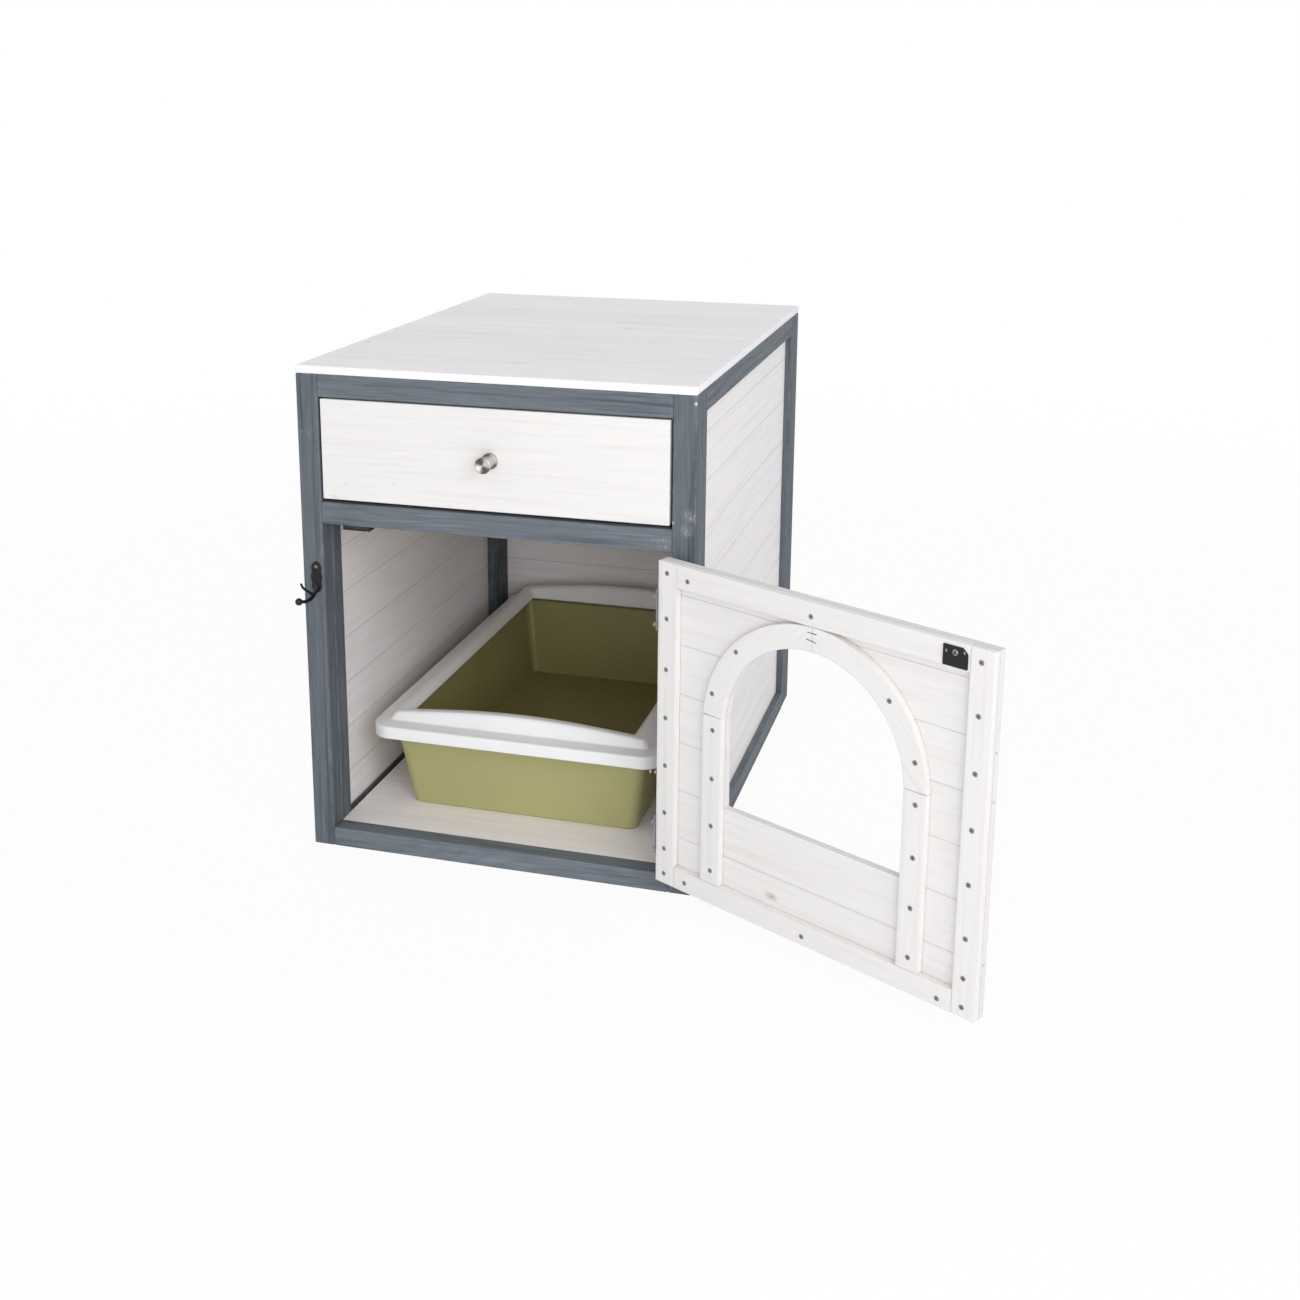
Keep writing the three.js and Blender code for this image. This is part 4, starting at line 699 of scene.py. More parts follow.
def washed_pine(name, colours, coat, joint_depth, knots=(), squeeze=(1.0, 1.0, 2.2), staves=False):
    """White wash over planed pine, in the colours of one coat; the wall, floor and top panel coats are
    lighter copies of the board coat, which is painted light.

    It gives the eye a chalky white through which pinkish streaks and rings show faintly, with bare, darker
    wood in the joints.
    """
    material, tree = new_material(name)
    streak, fibre, ring = timber_fields(tree)
    wash, shade = (tuple(getattr(colours, f"{coat}_{part}")) for part in ("wash", "shade"))
    colour = add(tree, "ValToRGB", {"Fac": streak}, stops=[(0.3, shade), (0.52, wash), (1.0, wash)])
    ring_weight = add(tree, "Math", {0: ring, 1: 0.14}, operation="MULTIPLY")
    colour = add(tree, "Mix", {0: ring_weight, 6: colour, 7: shade}, out=2, data_type="RGBA")
    fine = add(tree, "MapRange", {"Value": fibre, "To Min": 0.987, "To Max": 1.006, **NOISE_SPREAD})
    colour = add(tree, "VectorMath", {0: colour, "Scale": fine}, operation="SCALE")
    if staves:
        place = add(tree, "TexCoord", out="Object")
        across = add(tree, "SeparateXYZ", {0: place}, out="Y")
        stave = add(tree, "Math", {0: across, 1: STAVE_WIDTH}, operation="DIVIDE")
        number = add(tree, "Math", {0: stave}, operation="FLOOR")
        chance = add(tree, "TexWhiteNoise", {"W": number}, noise_dimensions="1D")
        tone = add(tree, "MapRange", {"Value": chance, "To Min": 0.965, "To Max": 1.015})
        colour = add(tree, "VectorMath", {0: colour, "Scale": tone}, operation="SCALE")
    wear = add(tree, "Attribute", out="Fac", attribute_name="wear")
    deep = add(tree, "MapRange", {"Value": wear, "From Min": 0.35, "From Max": 1.0, "To Max": joint_depth})
    colour = add(tree, "Mix", {0: deep, 6: colour, 7: tuple(colours.wash_joint)}, out=2, data_type="RGBA")
    height = add(tree, "Math", {0: fibre, 1: 0.5, 2: streak}, operation="MULTIPLY_ADD")
    colour, height = knot_and_dent_marks(tree, colour, height, knots, tuple(colours.wash_knot_and_dent_shade), squeeze)
    bump = add(tree, "Bump", {"Strength": 0.13, "Distance": 0.4 * MM, "Height": height})
    rough = add(tree, "MapRange", {"Value": streak, "To Min": 0.7, "To Max": 0.56})
    look = {"Base Color": colour, "Roughness": rough, "Normal": bump, **TIMBER_SKIN}
    add(tree, "OutputMaterial", {"Surface": add(tree, "BsdfPrincipled", look)})
    return material


def planed_pine(colours):
    """Planed, unpainted pine: warm yellow with darker late wood and a satin plane finish."""
    material, tree = new_material("pine_planed")
    streak, fibre, ring = timber_fields(tree)
    pale, late = tuple(colours.pine), tuple(colours.pine_late)
    weight = add(tree, "Math", {0: ring, 1: streak}, operation="MULTIPLY")
    colour = add(tree, "Mix", {0: weight, 6: pale, 7: late}, out=2, data_type="RGBA")
    fine = add(tree, "MapRange", {"Value": fibre, "To Min": 0.88, "To Max": 1.1})
    colour = add(tree, "VectorMath", {0: colour, "Scale": fine}, operation="SCALE")
    bump = add(tree, "Bump", {"Strength": 0.25, "Distance": 0.4 * MM, "Height": fibre})
    look = {"Base Color": colour, "Roughness": 0.6, "Normal": bump, **TIMBER_SKIN}
    add(tree, "OutputMaterial", {"Surface": add(tree, "BsdfPrincipled", look)})
    return material


def moulded_plastic(name, colour, roughness, level, grit=1.4 * MM, sheen_drift=0.05, inside=None):
    """Injection moulded polypropylene: an even colour with a fine spark texture and a soft gloss.

    It gives the eye a satin skin whose gloss drifts a little where the melt flowed; where an inside colour is
    given, the inside is drawn darker, which is painted shade.
    """
    material, tree = new_material(name)
    place = add(tree, "TexCoord", out="Object")
    spark = add(tree, "TexNoise", {"Vector": place, "Scale": 1 / grit, "Detail": 1.0})
    flow = add(tree, "TexNoise", {"Vector": place, "Scale": 7.0, "Detail": 3.0})
    tone = add(tree, "MapRange", {"Value": flow, "To Min": 0.96, "To Max": 1.03, **NOISE_SPREAD})
    shade = add(tree, "VectorMath", {0: tuple(colour), "Scale": tone}, operation="SCALE")
    if inside is not None:
        # Painted shade: where the attribute marks the inside, the colour turns to the darker inside olive.
        within = add(tree, "Attribute", out="Fac", attribute_name="wear")
        shade = add(tree, "Mix", {0: within, 6: shade, 7: tuple(inside)}, out=2, data_type="RGBA")
    low, high = roughness - sheen_drift, roughness + sheen_drift
    rough = add(tree, "MapRange", {"Value": flow, "To Min": low, "To Max": high, **NOISE_SPREAD})
    bump = add(tree, "Bump", {"Strength": 0.08, "Distance": 0.2 * MM, "Height": spark})
    look = {"Base Color": shade, "Roughness": rough, "Normal": bump, "IOR": 1.49, "Specular IOR Level": level}
    add(tree, "OutputMaterial", {"Surface": add(tree, "BsdfPrincipled", look)})
    return material


# Spacing of the lathe's marks on the knob, and width of one crystal of the zinc
TOOL_MARK, SPANGLE = 0.45 * MM, 1.1 * MM


def turned_stainless(colours, centre):
    """Stainless steel, faced on a lathe.

    It gives the eye fine rings, and a painted reflection: two light and two dark sectors of colour that meet
    at the middle of the face.
    """
    material, tree = new_material("stainless_steel_turned")
    place = add(tree, "TexCoord", out="Object")
    local = add(tree, "VectorMath", {0: place, 1: tuple(centre)}, operation="SUBTRACT")
    part_x = add(tree, "SeparateXYZ", {0: local}, out="X")
    part_z = add(tree, "SeparateXYZ", {0: local}, out="Z")
    # Painted reflection: the face's colour turns light and dark by the angle round its middle, in four
    # sectors.
    angle = add(tree, "Math", {0: part_z, 1: part_x}, operation="ARCTAN2")
    double = add(tree, "Math", {0: angle, 1: 2.0, 2: 0.5}, operation="MULTIPLY_ADD")
    painted_reflection_sector = add(tree, "Math", {0: double}, operation="SINE")
    stops = [(0.0, linear("#5d5756")), (0.38, linear("#7f7876"))]
    stops += [(0.62, tuple(colours.steel)), (1.0, linear("#d3cfcc"))]
    level = add(tree, "MapRange", {"Value": painted_reflection_sector, "From Min": -1.0})
    colour = add(tree, "ValToRGB", {"Fac": level}, stops=stops)
    flat = add(tree, "CombineXYZ", {"X": part_x, "Z": part_z})
    radius = add(tree, "VectorMath", {0: flat}, out="Value", operation="LENGTH")
    cut = add(tree, "Math", {0: radius, 1: 2 * math.pi / TOOL_MARK}, operation="MULTIPLY")
    rings = add(tree, "Math", {0: cut}, operation="SINE")
    bump = add(tree, "Bump", {"Strength": 0.12, "Distance": 0.05 * MM, "Height": rings})
    look = {"Base Color": colour, "Normal": bump, "Metallic": 1.0, "Roughness": 0.27, "Anisotropic": 0.6}
    add(tree, "OutputMaterial", {"Surface": add(tree, "BsdfPrincipled", look)})
    return material


def plated_steel(name, colours, colour, roughness):
    """Zinc-plated or ground steel: grey metal with a fine spangle, small dull patches and painted shade in
    marked recesses.
    """
    material, tree = new_material(name)
    place = add(tree, "TexCoord", out="Object")
    spangle = add(tree, "TexVoronoi", {"Vector": place, "Scale": 1 / SPANGLE})
    tone = add(tree, "MapRange", {"Value": spangle, "To Min": 0.82, "To Max": 1.12})
    shade = add(tree, "VectorMath", {0: tuple(colour), "Scale": tone}, operation="SCALE")
    # Painted shade: the marked cross of a screw head is drawn dark.
    pit = add(tree, "Attribute", out="Fac", attribute_name="wear")
    shade = add(tree, "Mix", {0: pit, 6: shade, 7: tuple(colours.recess_shade)}, out=2, data_type="RGBA")
    dull = add(tree, "TexNoise", {"Vector": place, "Scale": 400.0, "Detail": 2.0})
    rough = add(tree, "MapRange", {"Value": dull, "To Min": roughness - 0.1, "To Max": roughness + 0.15})
    look = {"Base Color": shade, "Metallic": 0.9, "Roughness": rough}
    add(tree, "OutputMaterial", {"Surface": add(tree, "BsdfPrincipled", look)})
    return material


def black_enamel(colours):
    """Black enamel over cast iron: a dark skin with small bright glints on a slightly lumpy casting."""
    material, tree = new_material("iron_black_enamel")
    place = add(tree, "TexCoord", out="Object")
    lumps = add(tree, "TexNoise", {"Vector": place, "Scale": 420.0, "Detail": 3.0})
    bump = add(tree, "Bump", {"Strength": 0.25, "Distance": 0.3 * MM, "Height": lumps})
    rough = add(tree, "MapRange", {"Value": lumps, "To Min": 0.16, "To Max": 0.42})
    tone = add(tree, "MapRange", {"Value": lumps, "To Min": 0.7, "To Max": 1.5})
    shade = add(tree, "VectorMath", {0: tuple(colours.black_enamel), "Scale": tone}, operation="SCALE")
    look = {"Base Color": shade, "Roughness": rough, "Normal": bump, "IOR": 1.5, "Specular IOR Level": 0.22}
    look |= {"Coat Weight": 0.15, "Coat Roughness": 0.12}
    add(tree, "OutputMaterial", {"Surface": add(tree, "BsdfPrincipled", look)})
    return material


# Place, radius and strength of each knot
PANEL_KNOTS = [
    ((-0.237, -0.157, 0.630), 0.0045, 1.0),
    ((0.063, 0.051, 0.630), 0.010, 0.4),
    ((0.004, -0.249, 0.630), 0.009, 0.3),
]
DRAWER_KNOTS = [
    ((-0.188, -0.340, 0.486), 0.0035, 0.4),
    ((-0.204, -0.340, 0.469), 0.0035, 0.4),
    ((-0.125, -0.340, 0.490), 0.0035, 0.3),
]
# One knot low on the door's boards and three dark spots in their free ends, painted shade of dents that the
# mesh doesn't have; each as millimetres off the hinge edge, the outer face and the ground, and its radius
DOOR_KNOTS_AND_DENT_SHADE = [((168.4, 8.65, 65.6), 0.0075)] + [((439, 5.5, height), 0.0026) for height in (322, 269, 89)]


def door_knots_and_dent_shade():
    """The door's knot and the painted shade of its dents, where the open door holds them."""
    return [(door_point(*place), radius, 1.0) for place, radius in DOOR_KNOTS_AND_DENT_SHADE]


def knob_centre():
    """The middle of the drawer knob."""
    low, high = node_box("drawer_knob")
    return (low + high) / 2


FINISHES = {}


def finish(name, colours):
    """The material of that name, made on first use."""
    makers = {
        "stained": lambda: stained_pine("pine_blue_grey_stain", colours, 1.0),
        "stained_low": lambda: stained_pine("pine_thin_coat", colours, 1.15),
        "stained_posts": lambda: stained_pine("pine_second_coat", colours, 0.87),
        # Painted shade: the corner battens in the rear corners get this much darker copy of the stain.
        "stained_deep": lambda: stained_pine("pine_heavy_coat", colours, 0.6),
        "door_boards": lambda: washed_pine("pine_whitewash_boards", colours, "board", 0.45, door_knots_and_dent_shade()),
        "door_battens": lambda: washed_pine("pine_whitewash_battens", colours, "board", 0.12),
        "drawer_face": lambda: washed_pine("pine_whitewash_drawer", colours, "board", 0.1, DRAWER_KNOTS),
        # Painted light: the walls, floor and top panel use lighter copies of the wash.
        "walls": lambda: washed_pine("pine_thin_whitewash", colours, "wall", 0.6),
        "floor": lambda: washed_pine("pine_whitewash_floor", colours, "floor", 0.12),
        "panel": lambda: washed_pine(
            "pine_whitewash_panel", colours, "panel", 0.0, PANEL_KNOTS, squeeze=(1.0, 2.2, 1.0), staves=True
        ),
        "pine": lambda: planed_pine(colours),
        "olive": lambda: moulded_plastic(
            "polypropylene_olive", colours.olive, 0.42, 0.45, inside=colours.olive_inside_shade
        ),
        "white": lambda: moulded_plastic("polypropylene_white", colours.white_plastic, 0.36, 0.5),
        "knob": lambda: turned_stainless(colours, knob_centre()),
        "zinc": lambda: plated_steel("steel_zinc_plated", colours, colours.zinc, 0.4),
        "magnet": lambda: plated_steel("ferrite_ground", colours, colours.magnet, 0.45),
        "enamel": lambda: black_enamel(colours),
        "abs": lambda: moulded_plastic("abs_black", colours.black_plastic, 0.5, 0.4, grit=0.9 * MM),
    }
    if name not in FINISHES:
        FINISHES[name] = makers[name]()
    return FINISHES[name]


# ---------------------------------------------------------------- carcass


def boards(name, low, high, joints, grain_axis, stack_axis, ease):
    """A run of boards side by side, each an eased block that touches the next."""
    levels = [low[stack_axis], *joints, high[stack_axis]]
    shells = []
    for number, (start, stop) in enumerate(zip(levels[:-1], levels[1:])):
        board_low, board_high = low.copy(), high.copy()
        board_low[stack_axis], board_high[stack_axis] = start, stop
        shells.append(eased_block(f"{name}_{number}", board_low, board_high, grain_axis, ease, JOINT_BAND))
    return shells


STAINED_ALONG = {
    Z: ["front_left_post", "front_right_post", "rear_left_post", "rear_right_post"]
    + [f"{side}_{end}_stile" for side in ("left", "right") for end in ("front", "rear")],
    X: ["front_top_rail", "front_middle_rail", "front_bottom_rail", "rear_top_rail", "rear_bottom_rail"],
    Y: [f"{side}_{level}_rail" for side in ("left", "right") for level in ("top", "bottom")],
}
COATS = {X: "stained", Y: "stained", Z: "stained_posts"}


class CABINET_OT_stained_frame(Operator):
    """Makes the stained posts, stiles and rails"""

    bl_idname = "cabinet.stained_frame"
    bl_label = "Stained frame"

    def execute(self, context):
        sizes, colours = context.scene.cabinet_sizes, context.scene.cabinet_colours
        for along, nodes in STAINED_ALONG.items():
            for node in nodes:
                low, high = node_box(node)
                if node.endswith("bottom_rail") and along == Y:
                    shells = [self.cut_down_rail(node, sizes)]
                else:
                    shells = [eased_block(node, low, high, along, sizes.batten_ease, sizes.wear_band)]
                coat = "stained_low" if node == "front_bottom_rail" else COATS[along]
                self.stained(node, shells, finish(coat, colours))
        # Painted shade: a darker copy of the stain for the corner battens.
        heavy = finish("stained_deep", colours)
        for side in ("left", "right"):
            node = f"{side}_corner_batten"
            self.stained(node, [self.corner_batten(node, side, sizes)], heavy)
        return {"FINISHED"}

    @staticmethod
    def stained(node, shells, stain):
        """A piece for one of the frame's timber nodes."""
        piece(f"{node}_stained", shells, stain, "cabinet", stands_for=[node])

    @staticmethod
    def cut_down_rail(node, sizes):
        """A bottom rail whose inner lip is lower, seen as an L from its end."""
        low, high = node_box(node)
        points = node_points(node)
        inner = high[X] if high[X] < 0 else low[X]
        outer = low[X] if high[X] < 0 else high[X]
        lip = points[np.abs(points[:, X] - inner) < LIP_CLEAR][:, Z].max()
        wall_low, wall_high = node_box(node.replace("bottom_rail", "wall_boards"))
        step = wall_high[X] if high[X] < 0 else wall_low[X]
        outline = [(low[Z], inner), (low[Z], outer), (high[Z], outer)]
        outline += [(high[Z], step), (lip, step), (lip, inner)]
        return slab(node, outline, low[Y], high[Y], Y, sizes.door_ease, band=CUT_BAND)

    @staticmethod
    def corner_batten(node, side, sizes):
        """The L-shaped batten round the rear stile."""
        low, high = node_box(node)
        stile_low, stile_high = node_box(f"{side}_rear_stile")
        if side == "left":
            proud, step, wall = high[X], stile_high[X], low[X]
        else:
            proud, step, wall = low[X], stile_low[X], high[X]
        front, notch, rear = low[Y], stile_low[Y], high[Y]
        outline = [(proud, front), (proud, rear), (step, rear), (step, notch), (wall, notch), (wall, front)]
        return slab(node, outline, low[Z], high[Z], Z, sizes.door_ease, band=CUT_BAND)


class CABINET_OT_wall_boards(Operator):
    """Makes the washed boards of the walls and the floor"""

    bl_idname = "cabinet.wall_boards"
    bl_label = "Wall and floor boards"

    def execute(self, context):
        sizes, colours = context.scene.cabinet_sizes, context.scene.cabinet_colours
        rows = [
            ("left_wall_boards", X, Z, Y, (0, sizes.tongue, sizes.tongue)),
            ("right_wall_boards", X, Z, Y, (0, sizes.tongue, sizes.tongue)),
            ("back_wall_boards", Y, Z, X, (sizes.tongue, 0, sizes.tongue)),
            ("floor_boards", Z, Y, X, (0, 0, 0)),
        ]
        for node, depth, stack, grain, tongue in rows:
            low, high = node_box(node)
            joints = joint_levels(node_points(node), depth, stack)
            shells = boards(node, low + tongue, high - tongue, joints, grain, stack, sizes.groove)
            wash = finish("floor" if depth == Z else "walls", colours)
            piece(f"{node}_washed", shells, wash, "cabinet", stands_for=[node])
        return {"FINISHED"}


class CABINET_OT_top_panel(Operator):
    """Makes the washed top panel"""

    bl_idname = "cabinet.top_panel"
    bl_label = "Top panel"

    def execute(self, context):
        sizes, colours = context.scene.cabinet_sizes, context.scene.cabinet_colours
        shell = eased_block("top_panel", *node_box("top_panel"), X, sizes.panel_ease, sizes.wear_band)
        wash = finish("panel", colours)
        piece("top_panel_washed", [shell], wash, "cabinet", stands_for=["top_panel"])
        return {"FINISHED"}


class CABINET_OT_bare_timber(Operator):
    """Makes the unpainted ledgers, cleat and runners"""

    bl_idname = "cabinet.bare_timber"
    bl_label = "Ledgers and runners"

    def execute(self, context):
        sizes, colours = context.scene.cabinet_sizes, context.scene.cabinet_colours
        names = ["floor_left_ledger", "floor_right_ledger", "floor_centre_cleat"]
        names += ["left_drawer_runner", "right_drawer_runner"]
        pine = finish("pine", colours)
        for node in names:
            shell = eased_block(node, *node_box(node), Y, sizes.door_ease)
            piece(f"{node}_planed", [shell], pine, "cabinet", stands_for=[node])
        return {"FINISHED"}


# ---------------------------------------------------------------- drawer


class CABINET_OT_drawer(Operator):
    """Makes the drawer's washed front and its planed box"""

    bl_idname = "cabinet.drawer"
    bl_label = "Drawer"

    def execute(self, context):
        sizes, colours = context.scene.cabinet_sizes, context.scene.cabinet_colours
        front = eased_block("drawer_front", *node_box("drawer_front"), X, sizes.door_ease, sizes.wear_band)
        wash = finish("drawer_face", colours)
        piece("drawer_front_washed", [front], wash, "drawer", stands_for=["drawer_front"])
        pine = finish("pine", colours)
        for node, along in (("drawer_left_side", Y), ("drawer_right_side", Y), ("drawer_back", X)):
            shell = eased_block(node, *node_box(node), along, sizes.door_ease)
            piece(f"{node}_planed", [shell], pine, "drawer", stands_for=[node])
        low, high = node_box("drawer_bottom")
        low[X], high[X] = node_box("drawer_left_side")[1][X], node_box("drawer_right_side")[0][X]
        low[Y] = node_box("drawer_front")[1][Y]
        shell = eased_block("drawer_bottom", low, high, Y, sizes.small_ease)
        piece("drawer_bottom_planed", [shell], pine, "drawer", stands_for=["drawer_bottom"])
        dress("knob_screw", finish("zinc", colours))
        return {"FINISHED"}


# Depth of the knob's waist, width of its two rims, how soft they run out, chamfer and dish of its face
KNOB_WAIST_DEPTH, KNOB_RIM, KNOB_SOFT = 1.7 * MM, 5 * MM, 0.7 * MM
KNOB_CHAMFER, KNOB_DISH, KNOB_ROUND = 1.6 * MM, 1.1 * MM, 0.55 * MM


class CABINET_OT_knob(Operator):
    """Turns the drawer knob"""

    bl_idname = "cabinet.knob"
    bl_label = "Drawer knob"

    def execute(self, context):
        sizes, colours = context.scene.cabinet_sizes, context.scene.cabinet_colours
        low, high = node_box("drawer_knob")
        length = high[Y] - low[Y]
        rim = (high[X] - low[X]) / 2
        waist, face_edge = rim - KNOB_WAIST_DEPTH, rim - KNOB_CHAMFER
        outline = [
            (0, 0),
            (rim, 0),
            (rim, KNOB_RIM - KNOB_SOFT),
            (waist, KNOB_RIM + 2 * KNOB_SOFT),
            (waist, length - KNOB_RIM - 2 * KNOB_SOFT),
            (rim, length - KNOB_RIM + KNOB_SOFT),
            (rim, length),
            (face_edge, length),
        ]
        away = np.linspace(1, 0, 9)[1:]
        face = np.stack([away * face_edge, length - KNOB_DISH * (1 - away**2)], 1)
        profile = np.concatenate([rounded_path(outline, KNOB_ROUND), face])
        origin = ((low[X] + high[X]) / 2, high[Y], (low[Z] + high[Z]) / 2)
        shell = revolved(profile, origin, (0, -1, 0), sizes.knob_turns)
        steel, node = finish("knob", colours), "drawer_knob"
        piece(f"{node}_turned", [shell], steel, "drawer", stands_for=[node], crease=30)
        return {"FINISHED"}


# ---------------------------------------------------------------- door


def door_point(u_mm, v_mm, z_mm):
    """A point of the open door, from millimetres off its hinge edge, outer face and the ground."""
    low, high = closed_box("door_boards")
    point = np.array([[high[X] - u_mm * MM, low[Y] + v_mm * MM, z_mm * MM]])
    return tuple(float(value) for value in swung_open(point)[0])


def arch():
    """Middle, spring line, inner and outer radius of the cat opening, from the legs beside it."""
    hinge_low, hinge_high = closed_box("door_hinge_side_leg")
    free_low, free_high = closed_box("door_free_side_leg")
    middle = (hinge_high[X] + free_low[X]) / 2
    return middle, hinge_high[Z], (hinge_low[X] - free_high[X]) / 2, (hinge_high[X] - free_low[X]) / 2


def arch_edge(side, low, high, spring, radius, middle):
    """The opening's edge on one side between two heights: straight up to the spring line, then an arc."""
    top = min(high, spring + radius)
    heights = np.linspace(low, top, ARCH_STEPS)
    if low < spring < top:
        heights = np.unique([*heights, spring])
    reach = np.sqrt(np.maximum(radius**2 - np.maximum(heights - spring, 0) ** 2, 0))
    return np.stack([heights, middle + side * reach], 1)


# The legs beside the opening end this far above the spring line of the arch, in millimetres
ARCH_JOINT_LIFT = {"door_hinge_side_leg": 10, "door_free_side_leg": 5}
# Gaps between the two arches at the crown, and between arch and leg at the outer and the inner edge
CROWN_CRACK, OUTER_CRACK, INNER_CRACK = 0.12 * MM, 0.9 * MM, 0.15 * MM
ARCH_STEPS, ARC_POINTS = 14, 40
DOOR_BATTENS = {
    "door_hinge_stile": Z,
    "door_free_stile": Z,
    "door_top_rail": X,
    "door_bottom_rail": X,
    "door_hinge_side_leg": Z,
    "door_free_side_leg": Z,
}


class CABINET_OT_door(Operator):
    """Makes the door's boards with the arched opening, its frame and its ring"""

    bl_idname = "cabinet.door"
    bl_label = "Door"

    def execute(self, context):
        sizes, colours = context.scene.cabinet_sizes, context.scene.cabinet_colours
        self.washed("door_boards", self.board_shells(sizes), finish("door_boards", colours))
        battens = finish("door_battens", colours)
        middle, spring, inner, outer = arch()
        for node, along in DOOR_BATTENS.items():
            low, high = closed_box(node)
            high[Z] += ARCH_JOINT_LIFT.get(node, 0) * MM
            self.washed(node, [eased_block(node, low, high, along, sizes.door_ease)], battens)
        for node, side in (("door_hinge_side_arch", 1), ("door_free_side_arch", -1)):
            low, high = closed_box(node)
            lift = ARCH_JOINT_LIFT[node.replace("arch", "leg")] * MM
            crown = math.pi / 2 - CROWN_CRACK / inner
            edges = []
            for radius, crack in ((outer, OUTER_CRACK), (inner, INNER_CRACK)):
                turn = np.linspace(math.asin((lift + crack) / radius), crown, ARC_POINTS)
                heights, across = spring + radius * np.sin(turn), middle + side * radius * np.cos(turn)
                edges.append(np.stack([heights, across], 1))
            outline = np.concatenate([edges[0], edges[1][::-1]])
            grain_angle = side * math.radians(135)
            shell = slab(node, outline, low[Y], high[Y], Y, sizes.door_ease, grain_angle)
            self.washed(node, [shell], battens)
        return {"FINISHED"}

    @staticmethod
    def washed(node, shells, wash):
        """A piece for one of the door's timber nodes."""
        piece(f"{node}_washed", shells, wash, "door", place=swung_open, stands_for=[node])

    @staticmethod
    def board_shells(sizes):
        """One shell for each board, or for each part of a board that the opening cuts in two."""
        low, high = closed_box("door_boards")
        joints = joint_levels(closed_points("door_boards"), Y, Z)
        middle, spring, radius, _ = arch()
        levels = [low[Z], *joints, high[Z]]
        sill = levels[2]
        crown = spring + radius
        outlines = []
        for start, stop in zip(levels[:-1], levels[1:]):
            if stop <= sill or start >= crown:
                outlines.append([(start, low[X]), (start, high[X]), (stop, high[X]), (stop, low[X])])
            elif stop < crown:
                free = arch_edge(-1, start, stop, spring, radius, middle)
                hinge = arch_edge(1, start, stop, spring, radius, middle)
                outlines.append([(start, low[X]), *free, (stop, low[X])])
                outlines.append([*hinge, (stop, high[X]), (start, high[X])])
            else:
                turn = math.asin((start - spring) / radius)
                angle = np.linspace(turn, math.pi - turn, ARC_POINTS)
                bow = np.stack([spring + radius * np.sin(angle), middle + radius * np.cos(angle)], 1)
                outlines.append([(start, high[X]), *bow, (start, low[X]), (stop, low[X]), (stop, high[X])])
        return [
            slab(f"door_board_{number}", outline, low[Y], high[Y], Y, sizes.groove, math.pi / 2, JOINT_BAND)
            for number, outline in enumerate(outlines)
        ]


# Screws, staple ends and slots: millimetres from the door's hinge edge and above the ground
DOOR_SCREWS = {
    "door_hinge_stile": [(13.3, z) for z in (417, 362, 300, 240, 180, 120, 73.5, 41)],
    "door_free_stile": [(423.5, z) for z in (415.6, 359.5, 298.4, 237.5, 177.5, 117.3, 72.6, 39.7)],
    "door_top_rail": [(44.3, 413.8), (217.4, 413.6)],
    "door_bottom_rail": [(45.9, 40), (218.5, 38.6), (393.9, 37.2)],
    "door_hinge_side_arch": [(116.6, 348), (83.2, 289.6)],
    "door_free_side_arch": [(319.8, 346.8), (353.9, 289)],
    "door_hinge_side_leg": [(85, z) for z in (245.5, 185.7, 127, 70.5)],
    "door_free_side_leg": [(356.7, z) for z in (243, 183.7, 126.4, 69.4)],
}
STAPLES = [((214, 395.4), (225.5, 395.4)), ((212, 387.7), (225, 385.7))]
STRIKE_SLOTS = [(383.9, 418.8), (404.7, 420.7)]
STRIKE_CORNER, STRIKE_ROUND = 6 * MM, 1.2 * MM
# Radius and height of a screw's head, and how far its cross is turned where that is set
STRIKE_HEAD = (3.2 * MM, 1.5 * MM, 0.4)
HOOK_HEAD = (2.1 * MM, 1.3 * MM, 0.7)
LEAF_HEAD = (2.7 * MM, 0.25 * MM)
HEAD_CREASE = 25
# Behind the pin, where a hinge leaf is flat and clear of its barrel
BARREL_CLEAR = 5 * MM
WIRE_POINTS = 8
REARWARDS = (0, 1, 0)
# Screws of a hinge leaf: how far each is from the leaf's middle, rearwards and upwards, in millimetres
LEAF_SCREWS = [(2.5, -17.0), (-4.0, 0.0), (2.5, 17.0)]


